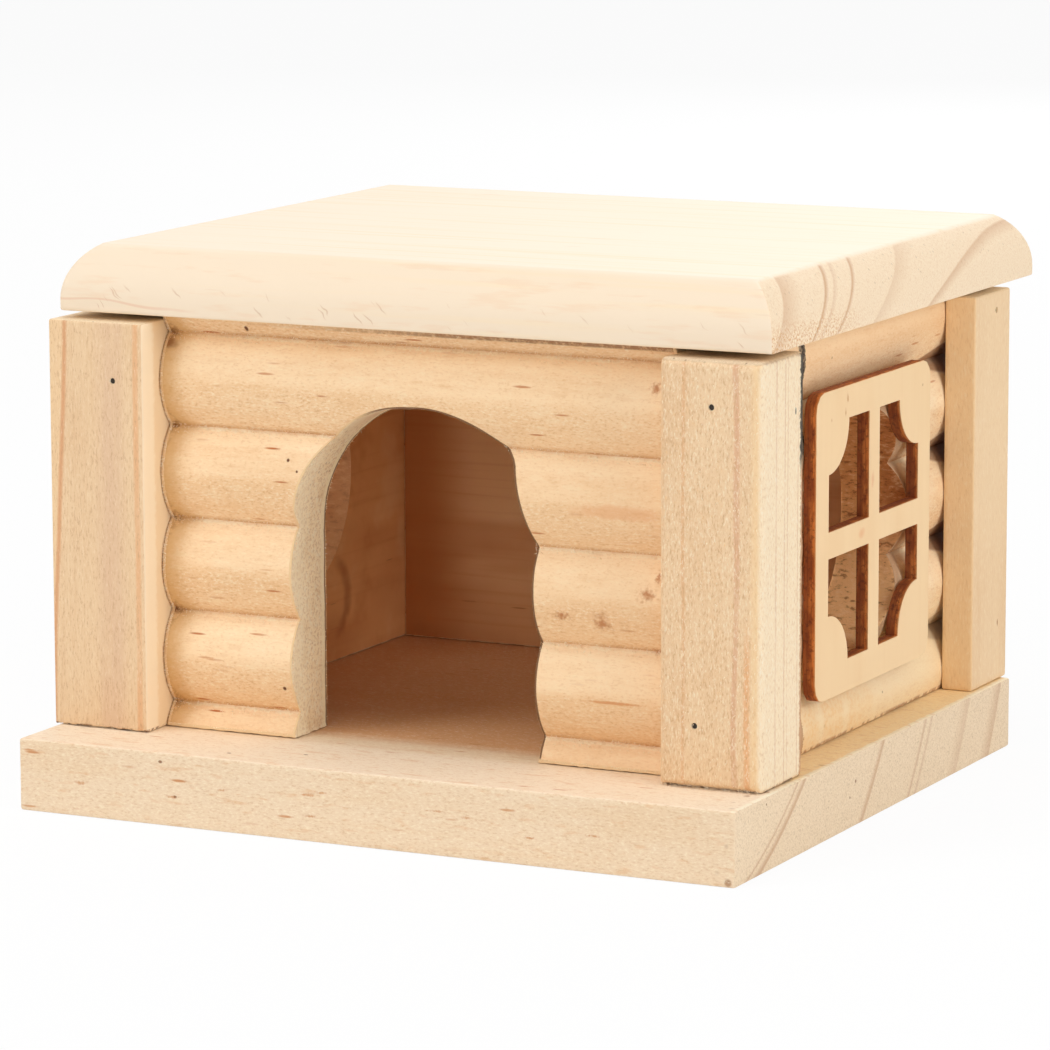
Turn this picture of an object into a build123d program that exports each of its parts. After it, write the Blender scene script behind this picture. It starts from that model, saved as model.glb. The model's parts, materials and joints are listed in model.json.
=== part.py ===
"""Small wooden house for a hamster: a floor board, four log-faced walls, corner posts and a lift-off roof.

Millimetres. X runs to the right, Y to the back and Z up. The origin is the centre of the floor
board's underside.
"""
import os

from build123d import *

# Floor board
floor_width = 160.0
floor_depth = 146.0
floor_thick = 15.0
floor_ease = 0.5

# Front corner posts, square-sawn sticks, and rear corner strips, all a little lower than the walls
post_width = 22.0
post_depth = 20.0
post_shortfall = 1.5
post_ease = 0.6
doorstep = 15.5
left_post_inset = -0.8
right_post_inset = 1.5

# Log-faced wall boards; a setback is from the post's outer face to the logs' crests
wall_thick = 15.0
wall_height = 86.0
log_pitch = 19.2
groove_depth = 4.0
front_first_groove = 5.1
side_first_groove = 13.3
floor_gap = 0.25
joint_gap = 0.2
front_wall_setback = 7.0
left_wall_setback = 5.8
right_wall_setback = 7.0
rear_overhang = 1.5

# Door, sawn by hand: its left half is a round arch, its right half has a flatter shoulder
door_offset = -0.4
door_arch = 27.0
door_spring = 42.5
shoulder_out = 22.3
shoulder_up = 60.0
shoulder_bow = 3.0
shoulder_round = 5.0
neck_out = 26.8
foot_out = 28.6

# Round window holes, and the plywood frames glued over them
window_hole_radius = 25.0
window_behind_middle = 0.9
window_below_middle = 1.0
ply_thick = 2.8
stile = 6.5
rail = 6.7
muntin = 5.5
pane_width = 21.0
pane_height = 21.9
pane_bite = 10.3
frame_corner = 4.0

# Roof board with a moulded edge, and the battens that keep it in place
roof_width = 159.0
roof_depth = 140.0
roof_thick = 13.5
roof_setback = 2.6
roof_edge_flat = 2.3
roof_edge_run = 6.5
roof_underside_ease = 0.8
batten_width = 10.0
batten_height = 8.0
batten_side_play = 1.0
batten_end_play = 1.5
batten_ease = 1.0

# Nails: thin brads with small heads, driven a little below the wood's face
nail_radius = 0.6
nail_head_radius = 0.85
nail_head_height = 0.5
nail_tip = 1.5
nail_sink = 0.4
nail_clearance = 0.06
wall_nail = 32.0
corner_nail = 38.0
batten_nail = 18.0

# Where the nails are, measured from the outer faces of the wood they are driven into
left_nail_in = 15.0
left_nail_down = 12.0
right_nail_in = 10.8
right_nail_down = 9.1
foot_nail_in = 14.2
foot_nail_up = 12.5
side_nail_in = 16.3
left_side_nail_down = 16.0
right_side_nail_down = 11.3
corner_nail_in = 8.0
corner_nail_down = 4.0
floor_nail_margin = 14.0
side_nail_margin = 16.0
post_nail_in = 9.0
batten_nail_margin = 15.0

# Faces that the pieces share
front_edge = -floor_depth / 2
rear_face = floor_depth / 2 + rear_overhang
post_front = front_edge + doorstep
post_back = post_front + post_depth
rear_post_front = rear_face - post_depth
post_height = wall_height - post_shortfall
post_top = floor_thick + post_height
left_outer = -floor_width / 2 + left_post_inset
right_outer = floor_width / 2 - right_post_inset
left_crest = left_outer + left_wall_setback
right_crest = right_outer - right_wall_setback
left_inner = left_crest + wall_thick
right_inner = right_crest - wall_thick
front_crest = post_front + front_wall_setback
front_inner = front_crest + wall_thick
back_inner = rear_face - wall_thick
wall_foot = floor_thick + floor_gap
wall_top = floor_thick + wall_height
side_wall_front = post_back + joint_gap
window_y = (post_back + rear_post_front) / 2 + window_behind_middle
window_z = floor_thick + wall_height / 2 - window_below_middle
roof_y = post_front + roof_setback + roof_depth / 2
batten_z = wall_top - batten_height
door_x = (left_outer + right_outer) / 2 + door_offset

# Nail seats: each lies on the wood's face, with its Z along the nail
side_nail_y = post_front + side_nail_in
corner_nail_y = rear_face - corner_nail_in
corner_nail_z = post_top - corner_nail_down
front_seats = [
    Plane(origin=(left_outer + left_nail_in, post_front, post_top - left_nail_down), z_dir=(0, 1, 0)),
    Plane(origin=(right_outer - right_nail_in, post_front, post_top - right_nail_down), z_dir=(0, 1, 0)),
    Plane(origin=(right_outer - foot_nail_in, post_front, floor_thick + foot_nail_up), z_dir=(0, 1, 0)),
]
side_seats = [
    Plane(origin=(left_outer, side_nail_y, post_top - left_side_nail_down), z_dir=(1, 0, 0)),
    Plane(origin=(right_outer, side_nail_y, post_top - right_side_nail_down), z_dir=(-1, 0, 0)),
]
corner_seats = [
    Plane(origin=(left_outer, corner_nail_y, corner_nail_z), z_dir=(1, 0, 0)),
    Plane(origin=(right_outer, corner_nail_y, corner_nail_z), z_dir=(-1, 0, 0)),
]
left_wall_mid = left_crest + wall_thick / 2
right_wall_mid = right_crest - wall_thick / 2
floor_nail_places = [
    (left_inner + floor_nail_margin, front_crest + wall_thick / 2),
    (right_inner - floor_nail_margin, front_crest + wall_thick / 2),
    (left_inner + floor_nail_margin, rear_face - wall_thick / 2),
    (right_inner - floor_nail_margin, rear_face - wall_thick / 2),
    (left_wall_mid, side_wall_front + side_nail_margin),
    (left_wall_mid, back_inner - side_nail_margin),
    (right_wall_mid, side_wall_front + side_nail_margin),
    (right_wall_mid, back_inner - side_nail_margin),
    (left_outer + post_nail_in, post_front + post_nail_in),
    (right_outer - post_nail_in, post_front + post_nail_in),
]
floor_seats = [Plane(origin=(x, y, 0)) for x, y in floor_nail_places]
batten_front = front_inner + batten_end_play
batten_back = back_inner - batten_end_play
left_batten_x = left_inner + batten_side_play + batten_width / 2
right_batten_x = right_inner - batten_side_play - batten_width / 2
batten_seats = [
    Plane(origin=(x, y, batten_z))
    for x in (left_batten_x, right_batten_x)
    for y in (batten_front + batten_nail_margin, batten_back - batten_nail_margin)
]


def turned(outline):
    """Solid turned about Z from a half outline of (radius, height) points that starts and ends on Z."""
    with BuildPart() as solid:
        with BuildSketch(Plane.XZ):
            with BuildLine():
                Polyline(*outline, close=True)
            make_face()
        revolve(axis=Axis.Z)
    return solid.part


def brad(length):
    """Headed nail that stands on its seat with its head sunk below the wood's face."""
    head_foot = nail_sink + nail_head_height
    return turned([
        (0, nail_sink),
        (nail_head_radius, nail_sink),
        (nail_head_radius, head_foot),
        (nail_radius, head_foot),
        (nail_radius, length - nail_tip),
        (0, length),
    ])


def brad_bore(length):
    """Hole that a brad of this length leaves, open at the wood's face."""
    pocket = nail_head_radius + nail_clearance
    shank = nail_radius + nail_clearance
    pocket_foot = nail_sink + nail_head_height + nail_clearance
    return turned([
        (0, -nail_sink),
        (pocket, -nail_sink),
        (pocket, pocket_foot),
        (shank, pocket_foot),
        (shank, length - nail_tip + nail_clearance),
        (0, length + nail_clearance),
    ])


def bore(seats, length):
    """Cut the holes of the nails at these seats from the piece being built."""
    with Locations(*seats):
        add(brad_bore(length), mode=Mode.SUBTRACT)


def nail_group(seats, length):
    """All the nails of one kind, each a solid of its own."""
    with BuildPart() as nails:
        with Locations(*seats):
            add(brad(length))
    return nails.part


def log_section(crest, inward, first_groove):
    """Section of a log-faced board: x across the board, y up; inward is the side of its flat back."""
    groove = crest + inward * groove_depth
    back = crest + inward * wall_thick
    start = floor_thick + first_groove - log_pitch
    height = start
    with BuildSketch() as section:
        with BuildLine():
            while height < wall_top:
                crown = (crest, height + log_pitch / 2)
                ThreePointArc((groove, height), crown, (groove, height + log_pitch))
                height += log_pitch
            Polyline((groove, height), (back, height), (back, start), (groove, start))
        make_face()
        with Locations(((crest + back) / 2, (wall_foot + wall_top) / 2)):
            Rectangle(wall_thick, wall_top - wall_foot, mode=Mode.INTERSECT)
    return section.sketch


def door_outline():
    """Outline of the door hole: x to the right, y up, past the wall's foot."""
    spring = floor_thick + door_spring
    apex = (door_x, spring + door_arch)
    shoulder = (door_x + shoulder_out, floor_thick + shoulder_up)
    neck = (door_x + neck_out, spring)
    foot = (door_x + foot_out, 0)
    with BuildSketch() as outline:
        with BuildLine():
            Line((door_x - door_arch, 0), (door_x - door_arch, spring))
            CenterArc((door_x, spring), door_arch, 90, 90)
            SagittaArc(apex, shoulder, shoulder_bow)
            Polyline(shoulder, neck, foot, (door_x - door_arch, 0))
        make_face()
        corner = outline.vertices().sort_by_distance((*shoulder, 0))[0]
        fillet(corner, radius=shoulder_round)
    return outline.sketch


def front_post(outer, inward):
    """Square-sawn corner stick, from its outer face towards the door."""
    with BuildPart() as post:
        with BuildSketch(Plane.XY.offset(floor_thick)):
            with Locations((outer + inward * post_width / 2, post_front + post_depth / 2)):
                Rectangle(post_width, post_depth)
        extrude(amount=post_height)
        fillet(post.edges().filter_by(Axis.Z), radius=post_ease)
        bore(front_seats, wall_nail)
        bore(side_seats, wall_nail)
        bore(floor_seats, wall_nail)
    return post.part


def rear_post(outer, crest):
    """Strip that lies on the logs' crests at a rear corner."""
    with BuildPart() as post:
        with BuildSketch(Plane.XY.offset(floor_thick)):
            with Locations(((outer + crest) / 2, rear_post_front + post_depth / 2)):
                Rectangle(abs(outer - crest), post_depth)
        extrude(amount=post_height)
        fillet(post.edges().filter_by(Axis.Z), radius=post_ease)
        bore(corner_seats, corner_nail)
    return post.part


def side_wall(crest, inward):
    """Log-faced side wall with its round window hole."""
    section = log_section(crest, inward, side_first_groove)
    with BuildPart() as wall:
        with BuildSketch(Plane.XZ.offset(-side_wall_front)):
            add(section)
        extrude(amount=side_wall_front - rear_face)
        with Locations(Plane(origin=(crest, window_y, window_z), z_dir=(1, 0, 0))):
            Cylinder(window_hole_radius, 4 * wall_thick, mode=Mode.SUBTRACT)
        bore(front_seats, wall_nail)
        bore(corner_seats, corner_nail)
        bore(floor_seats, wall_nail)
    return wall.part


def cross_wall(crest, inward, left_end, right_end):
    """Log-faced wall that runs from left to right, not yet cut."""
    section = log_section(crest, inward, front_first_groove)
    with BuildPart() as wall:
        with BuildSketch(Plane.YZ.offset(left_end + joint_gap)):
            add(section)
        extrude(amount=right_end - left_end - 2 * joint_gap)
        bore(side_seats, wall_nail)
        bore(corner_seats, corner_nail)
        bore(floor_seats, wall_nail)
    return wall.part


def window_frame(crest, outward):
    """Plywood frame on the logs' crests: four panes, each with its outer corner bitten off round."""
    pane_step = (pane_width + muntin, pane_height + muntin)
    corner_step = (2 * pane_width + muntin, 2 * pane_height + muntin)
    with BuildSketch() as panes:
        with GridLocations(*pane_step, 2, 2):
            Rectangle(pane_width, pane_height)
        with GridLocations(*corner_step, 2, 2):
            Circle(pane_bite, mode=Mode.SUBTRACT)
    with BuildPart() as frame:
        with BuildSketch(Plane.YZ.offset(crest)):
            with Locations((window_y, window_z)):
                RectangleRounded(corner_step[0] + 2 * stile, corner_step[1] + 2 * rail, frame_corner)
                add(panes.sketch, mode=Mode.SUBTRACT)
        extrude(amount=outward * ply_thick)
    return frame.part


def moulded_section(width):
    """Section of the roof board: x across it, y up from its underside, with its edge moulding."""
    half = width / 2
    with BuildSketch() as section:
        with BuildLine():
            Polyline((0, 0), (half, 0), (half, roof_edge_flat))
            TangentArc((half, roof_edge_flat), (half - roof_edge_run, roof_thick), tangent=(0, 1))
            Line((half - roof_edge_run, roof_thick), (0, roof_thick))
            mirror(about=Plane.YZ)
        make_face()
    return section.sketch


def roof_batten(middle):
    """Batten under the roof board, just inside a side wall."""
    with BuildPart() as batten:
        with BuildSketch(Plane.XY.offset(batten_z)):
            with Locations((middle, (batten_front + batten_back) / 2)):
                Rectangle(batten_width, batten_back - batten_front)
        extrude(amount=batten_height)
        chamfer(batten.edges().group_by(Axis.Z)[0], length=batten_ease)
        bore(batten_seats, batten_nail)
    return batten.part


def save(piece, name):
    """Label one piece and write it to its own file."""
    piece.label = name
    export_step(piece, f"parts/{name}.step")


os.makedirs("parts", exist_ok=True)

with BuildPart() as floor_board:
    with BuildSketch():
        Rectangle(floor_width, floor_depth)
    extrude(amount=floor_thick)
    fillet(floor_board.edges(), radius=floor_ease)
    bore(floor_seats, wall_nail)
save(floor_board.part, "floor_board")

with BuildPart() as front_wall:
    add(cross_wall(front_crest, 1, left_outer + post_width, right_outer - post_width))
    with BuildSketch(Plane.XZ.offset(-front_crest)):
        add(door_outline())
    extrude(amount=wall_thick, both=True, mode=Mode.SUBTRACT)
save(front_wall.part, "front_wall")

save(cross_wall(rear_face, -1, left_inner, right_inner), "back_wall")
save(side_wall(left_crest, 1), "left_wall")
save(side_wall(right_crest, -1), "right_wall")
save(front_post(left_outer, 1), "front_left_post")
save(front_post(right_outer, -1), "front_right_post")
save(rear_post(left_outer, left_crest), "rear_left_post")
save(rear_post(right_outer, right_crest), "rear_right_post")
save(window_frame(left_crest, -1), "left_window_frame")
save(window_frame(right_crest, 1), "right_window_frame")

with BuildPart() as roof_board:
    with BuildSketch(Plane.XZ.offset(roof_depth / 2 - roof_y)):
        with Locations((0, wall_top)):
            add(moulded_section(roof_width))
    extrude(amount=-roof_depth)
    with BuildSketch(Plane.YZ.offset(-roof_width / 2)):
        with Locations((roof_y, wall_top)):
            add(moulded_section(roof_depth))
    extrude(amount=roof_width, mode=Mode.INTERSECT)
    fillet(roof_board.edges().group_by(Axis.Z)[0], radius=roof_underside_ease)
    bore(batten_seats, batten_nail)
save(roof_board.part, "roof_board")

save(roof_batten(left_batten_x), "left_roof_batten")
save(roof_batten(right_batten_x), "right_roof_batten")

save(nail_group(front_seats, wall_nail), "front_post_nails")
save(nail_group(side_seats, wall_nail), "side_post_nails")
save(nail_group(corner_seats, corner_nail), "rear_post_nails")
save(nail_group(floor_seats, wall_nail), "floor_nails")
save(nail_group(batten_seats, batten_nail), "batten_nails")
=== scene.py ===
"""Looks of the wooden hamster house: planed, moulded and sawn pine round the fixed frame of the model.

Metres, in the model's frame: X to the right, Y to the back, Z up.
"""
import json
import math
from itertools import product

import bmesh
import bpy
import numpy as np
from mathutils import Matrix, Vector
from mathutils.geometry import delaunay_2d_cdt


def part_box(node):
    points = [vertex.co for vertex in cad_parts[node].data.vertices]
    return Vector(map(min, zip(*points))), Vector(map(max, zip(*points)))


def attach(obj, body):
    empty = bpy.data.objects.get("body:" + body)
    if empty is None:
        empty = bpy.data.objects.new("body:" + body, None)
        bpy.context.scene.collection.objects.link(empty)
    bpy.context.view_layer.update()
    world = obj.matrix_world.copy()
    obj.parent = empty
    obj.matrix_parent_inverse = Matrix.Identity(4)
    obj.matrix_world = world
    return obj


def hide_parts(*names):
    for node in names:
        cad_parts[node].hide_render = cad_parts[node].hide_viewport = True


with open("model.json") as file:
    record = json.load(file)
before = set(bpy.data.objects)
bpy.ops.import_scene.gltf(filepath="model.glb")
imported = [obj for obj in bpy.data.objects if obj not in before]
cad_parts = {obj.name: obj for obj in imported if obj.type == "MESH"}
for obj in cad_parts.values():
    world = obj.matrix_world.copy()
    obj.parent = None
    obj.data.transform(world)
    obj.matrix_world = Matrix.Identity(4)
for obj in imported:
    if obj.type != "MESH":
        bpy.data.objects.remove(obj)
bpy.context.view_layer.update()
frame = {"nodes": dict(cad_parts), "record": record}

mm = 0.001

# ---------------------------------------------------------------- sizes that the frame doesn't give

log_pitch = 19.2 * mm
log_bulge = 4.0 * mm
front_groove = 5.1 * mm          # first groove above the floor board, front and back walls
side_groove = 13.3 * mm          # the same, side walls
door_arch = 27.0 * mm
door_offset = -0.4 * mm          # from the middle between the posts
door_spring = 42.5 * mm          # height of the arch's centre above the floor board
shoulder = (22.3 * mm, 60.0 * mm)
shoulder_bow = 3.0 * mm
neck_out = 26.8 * mm
foot_out = 28.6 * mm
window_hole = 25.0 * mm
muntin = 5.5 * mm
pane = (21.0 * mm, 21.9 * mm)
pane_bite = 10.3 * mm
frame_corner = 4.0 * mm
roof_flat = 2.3 * mm             # upright band below the roof's moulding
roof_run = 6.5 * mm              # how far the moulding runs in over the top
brad_hole = 0.6 * mm
brad_hole_depth = 0.55 * mm
end_reach = 0.14 * mm            # how far a wall's torn ends and foot reach into the gap beside them
foot_reach = 0.18 * mm
back_step = 4 * mm               # mesh of the faces that carry no detail
saw_step = 0.7 * mm              # mesh along the saw's cuts
at_the_side = 0.05 * mm          # how near a side of its box a point counts as standing on it
sharp_from = math.radians(38)    # arrises that turn by more than this stay sharp


# ---------------------------------------------------------------- noise for shapes

def lattice(cells, seed):
    """A fixed random number from 0 to 1 for each whole-numbered cell."""
    mixed = cells[..., 0] * 73856093 ^ cells[..., 1] * 19349663 ^ cells[..., 2] * 83492791
    mixed = (mixed + seed * 2654435) & 0xFFFFFF
    mixed = (mixed ^ (mixed >> 11)) * 40503 & 0xFFFFFF
    mixed = (mixed ^ (mixed >> 9)) * 69069 & 0xFFFFFF
    return (mixed ^ (mixed >> 12)) / 0xFFFFFF


def noise(points, size, seed):
    """Smooth noise from -1 to 1 at (n, 3) points; size is how large its lumps are along each axis."""
    scaled = np.asarray(points) / np.asarray(size)
    cell = np.floor(scaled).astype(np.int64)
    part = scaled - cell
    part = part * part * (3 - 2 * part)
    total = 0.0
    for corner in product((0, 1), repeat=3):
        weight = np.prod(np.where(corner, part, 1 - part), axis=-1)
        total = total + weight * lattice(cell + np.array(corner), seed)
    return 2 * total - 1


# ---------------------------------------------------------------- outlines

def unit(vectors):
    """The same directions at length 1."""
    return vectors / np.linalg.norm(vectors, axis=-1, keepdims=True)


def rectangle(low, high, radius, step):
    """Loop maker: a rectangle with rounded corners, counter-clockwise; an inset draws it in."""
    low, high = np.array(low), np.array(high)
    sides = [max(2, round(float(length) / step)) for length in high - low]
    corner_points = 4

    def loop(inset):
        a, b = low + inset + radius, high - inset - radius
        centres = [(b[0], a[1]), (b[0], b[1]), (a[0], b[1]), (a[0], a[1])]
        points = []
        for turn, centre in enumerate(centres):
            for angle in np.linspace(turn - 1, turn, corner_points) * math.pi / 2:
                points.append((centre[0] + radius * math.cos(angle), centre[1] + radius * math.sin(angle)))
            following = centres[(turn + 1) % 4]
            normal = turn * math.pi / 2
            start = np.array(points[-1])
            end = np.array(following) + radius * np.array((math.cos(normal), math.sin(normal)))
            count = sides[(turn + 1) % 2]
            for share in np.arange(1, count) / count:
                points.append(tuple(start + (end - start) * share))
        return np.array(points)

    return loop


def circle(centre, radius, step):
    """Loop maker: a round hole, clockwise; an inset widens it into the wood."""
    count = round(2 * math.pi * radius / step)
    angles = -np.arange(count) * 2 * math.pi / count

    def loop(inset):
        ray = np.stack((np.cos(angles), np.sin(angles)), axis=1)
        return np.array(centre) + (radius + inset) * ray

    return loop


def mitred(points):
    """Loop maker for any outline that has the wood on its left; an inset moves it into the wood."""
    points = np.array(points)

    def loop(inset):
        along = unit(np.roll(points, -1, axis=0) - points)
        left = np.stack((-along[:, 1], along[:, 0]), axis=1)
        before = np.roll(left, 1, axis=0)
        mitre = (left + before) / (1 + np.sum(left * before, axis=1, keepdims=True)).clip(0.4)
        return points + inset * mitre

    return loop


def divided(corners, step):
    """Points along straight runs between corners, the first corner included and the last left out."""
    points = []
    for start, end in zip(corners[:-1], corners[1:]):
        start, end = np.array(start), np.array(end)
        count = max(1, round(float(np.linalg.norm(end - start)) / step))
        points += [tuple(start + (end - start) * share) for share in np.arange(count) / count]
    return points


def arc(centre, radius, start, end, step):
    """Points on an arc from one angle to another, in degrees, both ends included."""
    count = max(3, round(abs(math.radians(end - start)) * radius / step))
    angles = np.radians(np.linspace(start, end, count + 1))
    return [(centre[0] + radius * math.cos(a), centre[1] + radius * math.sin(a)) for a in angles]


def rounding(radius, steps=4):
    """Edge of a quarter round, as (inset, sink) pairs from the outline inwards."""
    angles = np.linspace(0, math.pi / 2, steps + 1)
    return [(radius * (1 - math.cos(a)), radius * (1 - math.sin(a))) for a in angles]


def inside(points, rings):
    """Which points lie inside the rings, by the even-odd rule."""
    starts = np.concatenate(rings)
    ends = np.concatenate([np.roll(ring, -1, axis=0) for ring in rings])
    found = np.zeros(len(points), bool)
    for part in np.array_split(np.arange(len(points)), max(1, len(points) // 2000)):
        px, py = points[part, 0:1], points[part, 1:2]
        spans = (starts[:, 1] > py) != (ends[:, 1] > py)
        rise = np.where(ends[:, 1] == starts[:, 1], 1.0, ends[:, 1] - starts[:, 1])
        cross = starts[:, 0] + (py - starts[:, 1]) * (ends[:, 0] - starts[:, 0]) / rise
        found[part] = np.sum(spans & (px < cross), axis=1) % 2 == 1
    return found


def pit_depth(uv, pits):
    """How deep the nail pits are at (n, 2) points; pits: (u, v)."""
    depth = np.zeros(len(uv))
    for pit in pits:
        away = np.linalg.norm(uv - np.array(pit), axis=1) / brad_hole
        depth = np.maximum(depth, brad_hole_depth * np.clip((1.12 - away) / 0.24, 0, 1))
    return depth


def face_grid(us, vs, pits):
    """Grid points of a face, drawn together in rings round each nail pit."""
    grid = np.stack(np.meshgrid(us, vs), axis=-1).reshape(-1, 2)
    turns = np.arange(16) * math.pi / 8
    ring = brad_hole * np.stack((np.cos(turns), np.sin(turns)), axis=1)
    for pit in pits:
        grid = grid[np.linalg.norm(grid - pit, axis=1) > 2.2 * brad_hole]
        rings = [np.array(pit) + share * ring for share in (0.5, 0.88, 1.0, 1.12, 1.7)]
        grid = np.concatenate((grid, *rings, [pit]))
    return grid


def fill(rings, grid):
    """Triangles that fill the rings through grid points: (grid points used, triangles)."""
    grid = grid[inside(grid, rings)]
    edge = np.concatenate(rings)
    near = np.full(len(grid), np.inf)
    for part in np.array_split(np.arange(len(grid)), max(1, len(grid) // 1000)):
        near[part] = np.linalg.norm(grid[part, None] - edge[None], axis=2).min(axis=1)
    gap = 0.4 * float(np.median(np.linalg.norm(np.diff(rings[0], axis=0), axis=1)))
    grid = grid[near > gap]
    points = np.concatenate((edge, grid))
    bonds = []
    first = 0
    for ring in rings:
        count = len(ring)
        bonds += [(first + i, first + (i + 1) % count) for i in range(count)]
        first += count
    made = delaunay_2d_cdt([Vector(p) for p in points], bonds, [], 0, 1e-8)
    source = [origin[0] if origin else -1 for origin in made[3]]
    triangles = np.array([[source[i] for i in face] for face in made[2]])
    triangles = triangles[inside(points[triangles].mean(axis=1), rings)]
    return grid, triangles


# ---------------------------------------------------------------- boards

FACE, BACK, CUT = 0, 1, 2


def board(name, loops, place, face, back, us, vs, edge, back_edge, rows, bite,
          pits=(), back_pits=(), rim=FACE):
    """A board as a closed mesh.

    loops: makers of its outline and of its holes. place: turns u, v and depth into points.
    face, back: depth of the two broad faces at (n, 2) points. us, vs: grid that carries the face's detail.
    edge, back_edge: (inset, sink) pairs of the worked edges. rows: how many rows cross its thickness.
    bite: depth of the saw's marks at (n, 3) points of the cut sides. pits, back_pits: (u, v) of sunk nails.
    Faces keep FACE, BACK or CUT; rim says which of them the face's worked edge takes.
    """
    points, faces, kinds = [], [], []
    count = 0

    def add(uv, depth):
        nonlocal count
        points.append(place(uv[:, 0], uv[:, 1], depth))
        count += len(uv)
        return np.arange(count - len(uv), count)

    front_rings, back_rings, front_ids, back_ids = [], [], [], []
    for loop in loops:
        outline = loop(0.0)
        inward = (loop(1e-5) - outline) / 1e-5
        top = face(outline) + edge[0][1]
        bottom = back(outline) - back_edge[0][1]
        stages = []
        for inset, sink in reversed(edge):
            stages.append((loop(inset), inset / edge[-1][0], face(loop(inset)) + sink, rim))
        for share in np.arange(1, rows) / rows:
            stages.append((outline, 0.0, top + (bottom - top) * share, CUT))
        for inset, sink in back_edge:
            stages.append((loop(inset), inset / back_edge[-1][0], back(loop(inset)) - sink, CUT))
        ids = []
        for order, (uv, reach, depth, kind) in enumerate(stages):
            marks = bite(place(outline[:, 0], outline[:, 1], depth))
            uv = uv + inward * (marks * (1 - reach))[:, None]
            ids.append(add(uv, depth))
            if order == 0:
                front_rings.append(uv)
            if order == len(stages) - 1:
                back_rings.append(uv)
            if order:
                here, last = ids[-1], ids[-2]
                faces += np.stack((last, np.roll(last, -1), np.roll(here, -1), here), axis=1).tolist()
                kinds += [kind] * len(here)
        front_ids.append(ids[0])
        back_ids.append(ids[-1])
    back_us, back_vs = spaced(us[0], us[-1], back_step), spaced(vs[0], vs[-1], back_step)
    for rings, ids, grid, depth, marks, sign, kind in (
        (front_rings, front_ids, (us, vs), face, pits, 1, FACE),
        (back_rings, back_ids, (back_us, back_vs), back, back_pits, -1, BACK),
    ):
        inner, triangles = fill(rings, face_grid(*grid, marks))
        numbers = np.concatenate(ids + [add(inner, depth(inner) + sign * pit_depth(inner, marks))])
        faces += numbers[triangles].tolist()
        kinds += [kind] * len(triangles)
    return solid(name, np.concatenate(points), faces, kinds)


def solid(name, points, faces, kinds=None):
    """A shown object from points and faces, its faces turned outwards and its arrises kept sharp."""
    mesh = bpy.data.meshes.new(name)
    mesh.from_pydata(points.tolist(), [], faces)
    if kinds is not None:
        mesh.polygons.foreach_set("material_index", kinds)
    work = bmesh.new()
    work.from_mesh(mesh)
    bmesh.ops.recalc_face_normals(work, faces=work.faces)
    work.to_mesh(mesh)
    work.free()
    mesh.shade_smooth()
    mesh.set_sharp_from_angle(angle=sharp_from)
    obj = bpy.data.objects.new(name, mesh)
    bpy.context.scene.collection.objects.link(obj)
    return obj


def spaced(low, high, step):
    """Evenly spaced numbers from low to high, about a step apart."""
    return np.linspace(low, high, max(3, round((high - low) / step) + 1))


def finish_piece(obj, node, face, back=None, cut=None):
    """Gives a piece the materials of its face, back and cut sides, and puts it in the place of its node."""
    for material in (face, back or face, cut or face):
        obj.data.materials.append(material)
    body = next(name for name, nodes in frame["record"]["behaviour"]["bodies"].items() if node in nodes)
    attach(obj, body)
    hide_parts(node)


# ---------------------------------------------------------------- shaders

def srgb(red, green, blue):
    """Colour written as screen values from 0 to 255."""
    def linear(value):
        value /= 255
        return value / 12.92 if value <= 0.04045 else ((value + 0.055) / 1.055) ** 2.4
    return (linear(red), linear(green), linear(blue), 1.0)


class Number:
    """A number in a material: arithmetic on it adds Math nodes."""

    def __init__(self, shader, socket):
        self.shader = shader
        self.socket = socket

    def math(self, operation, *values):
        settings = {"operation": operation}
        return self.shader.number("ShaderNodeMath", settings, dict(enumerate(values)))

    def __add__(self, other):
        return self.math("ADD", self, other)

    def __sub__(self, other):
        return self.math("SUBTRACT", self, other)

    def __rsub__(self, other):
        return self.math("SUBTRACT", other, self)

    def __mul__(self, other):
        return self.math("MULTIPLY", self, other)

    def __truediv__(self, other):
        return self.math("DIVIDE", self, other)

    def __pow__(self, other):
        return self.math("POWER", self, other)

    def __abs__(self):
        return self.math("ABSOLUTE", self)

    __radd__ = __add__
    __rmul__ = __mul__

    def fraction(self):
        return self.math("FRACT", self)

    def rise(self, start, end):
        """0 below start, 1 above end, smooth between; start may be above end."""
        settings = {"interpolation_type": "SMOOTHSTEP"}
        return self.shader.number("ShaderNodeMapRange", settings, {0: self, 1: start, 2: end})


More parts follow.
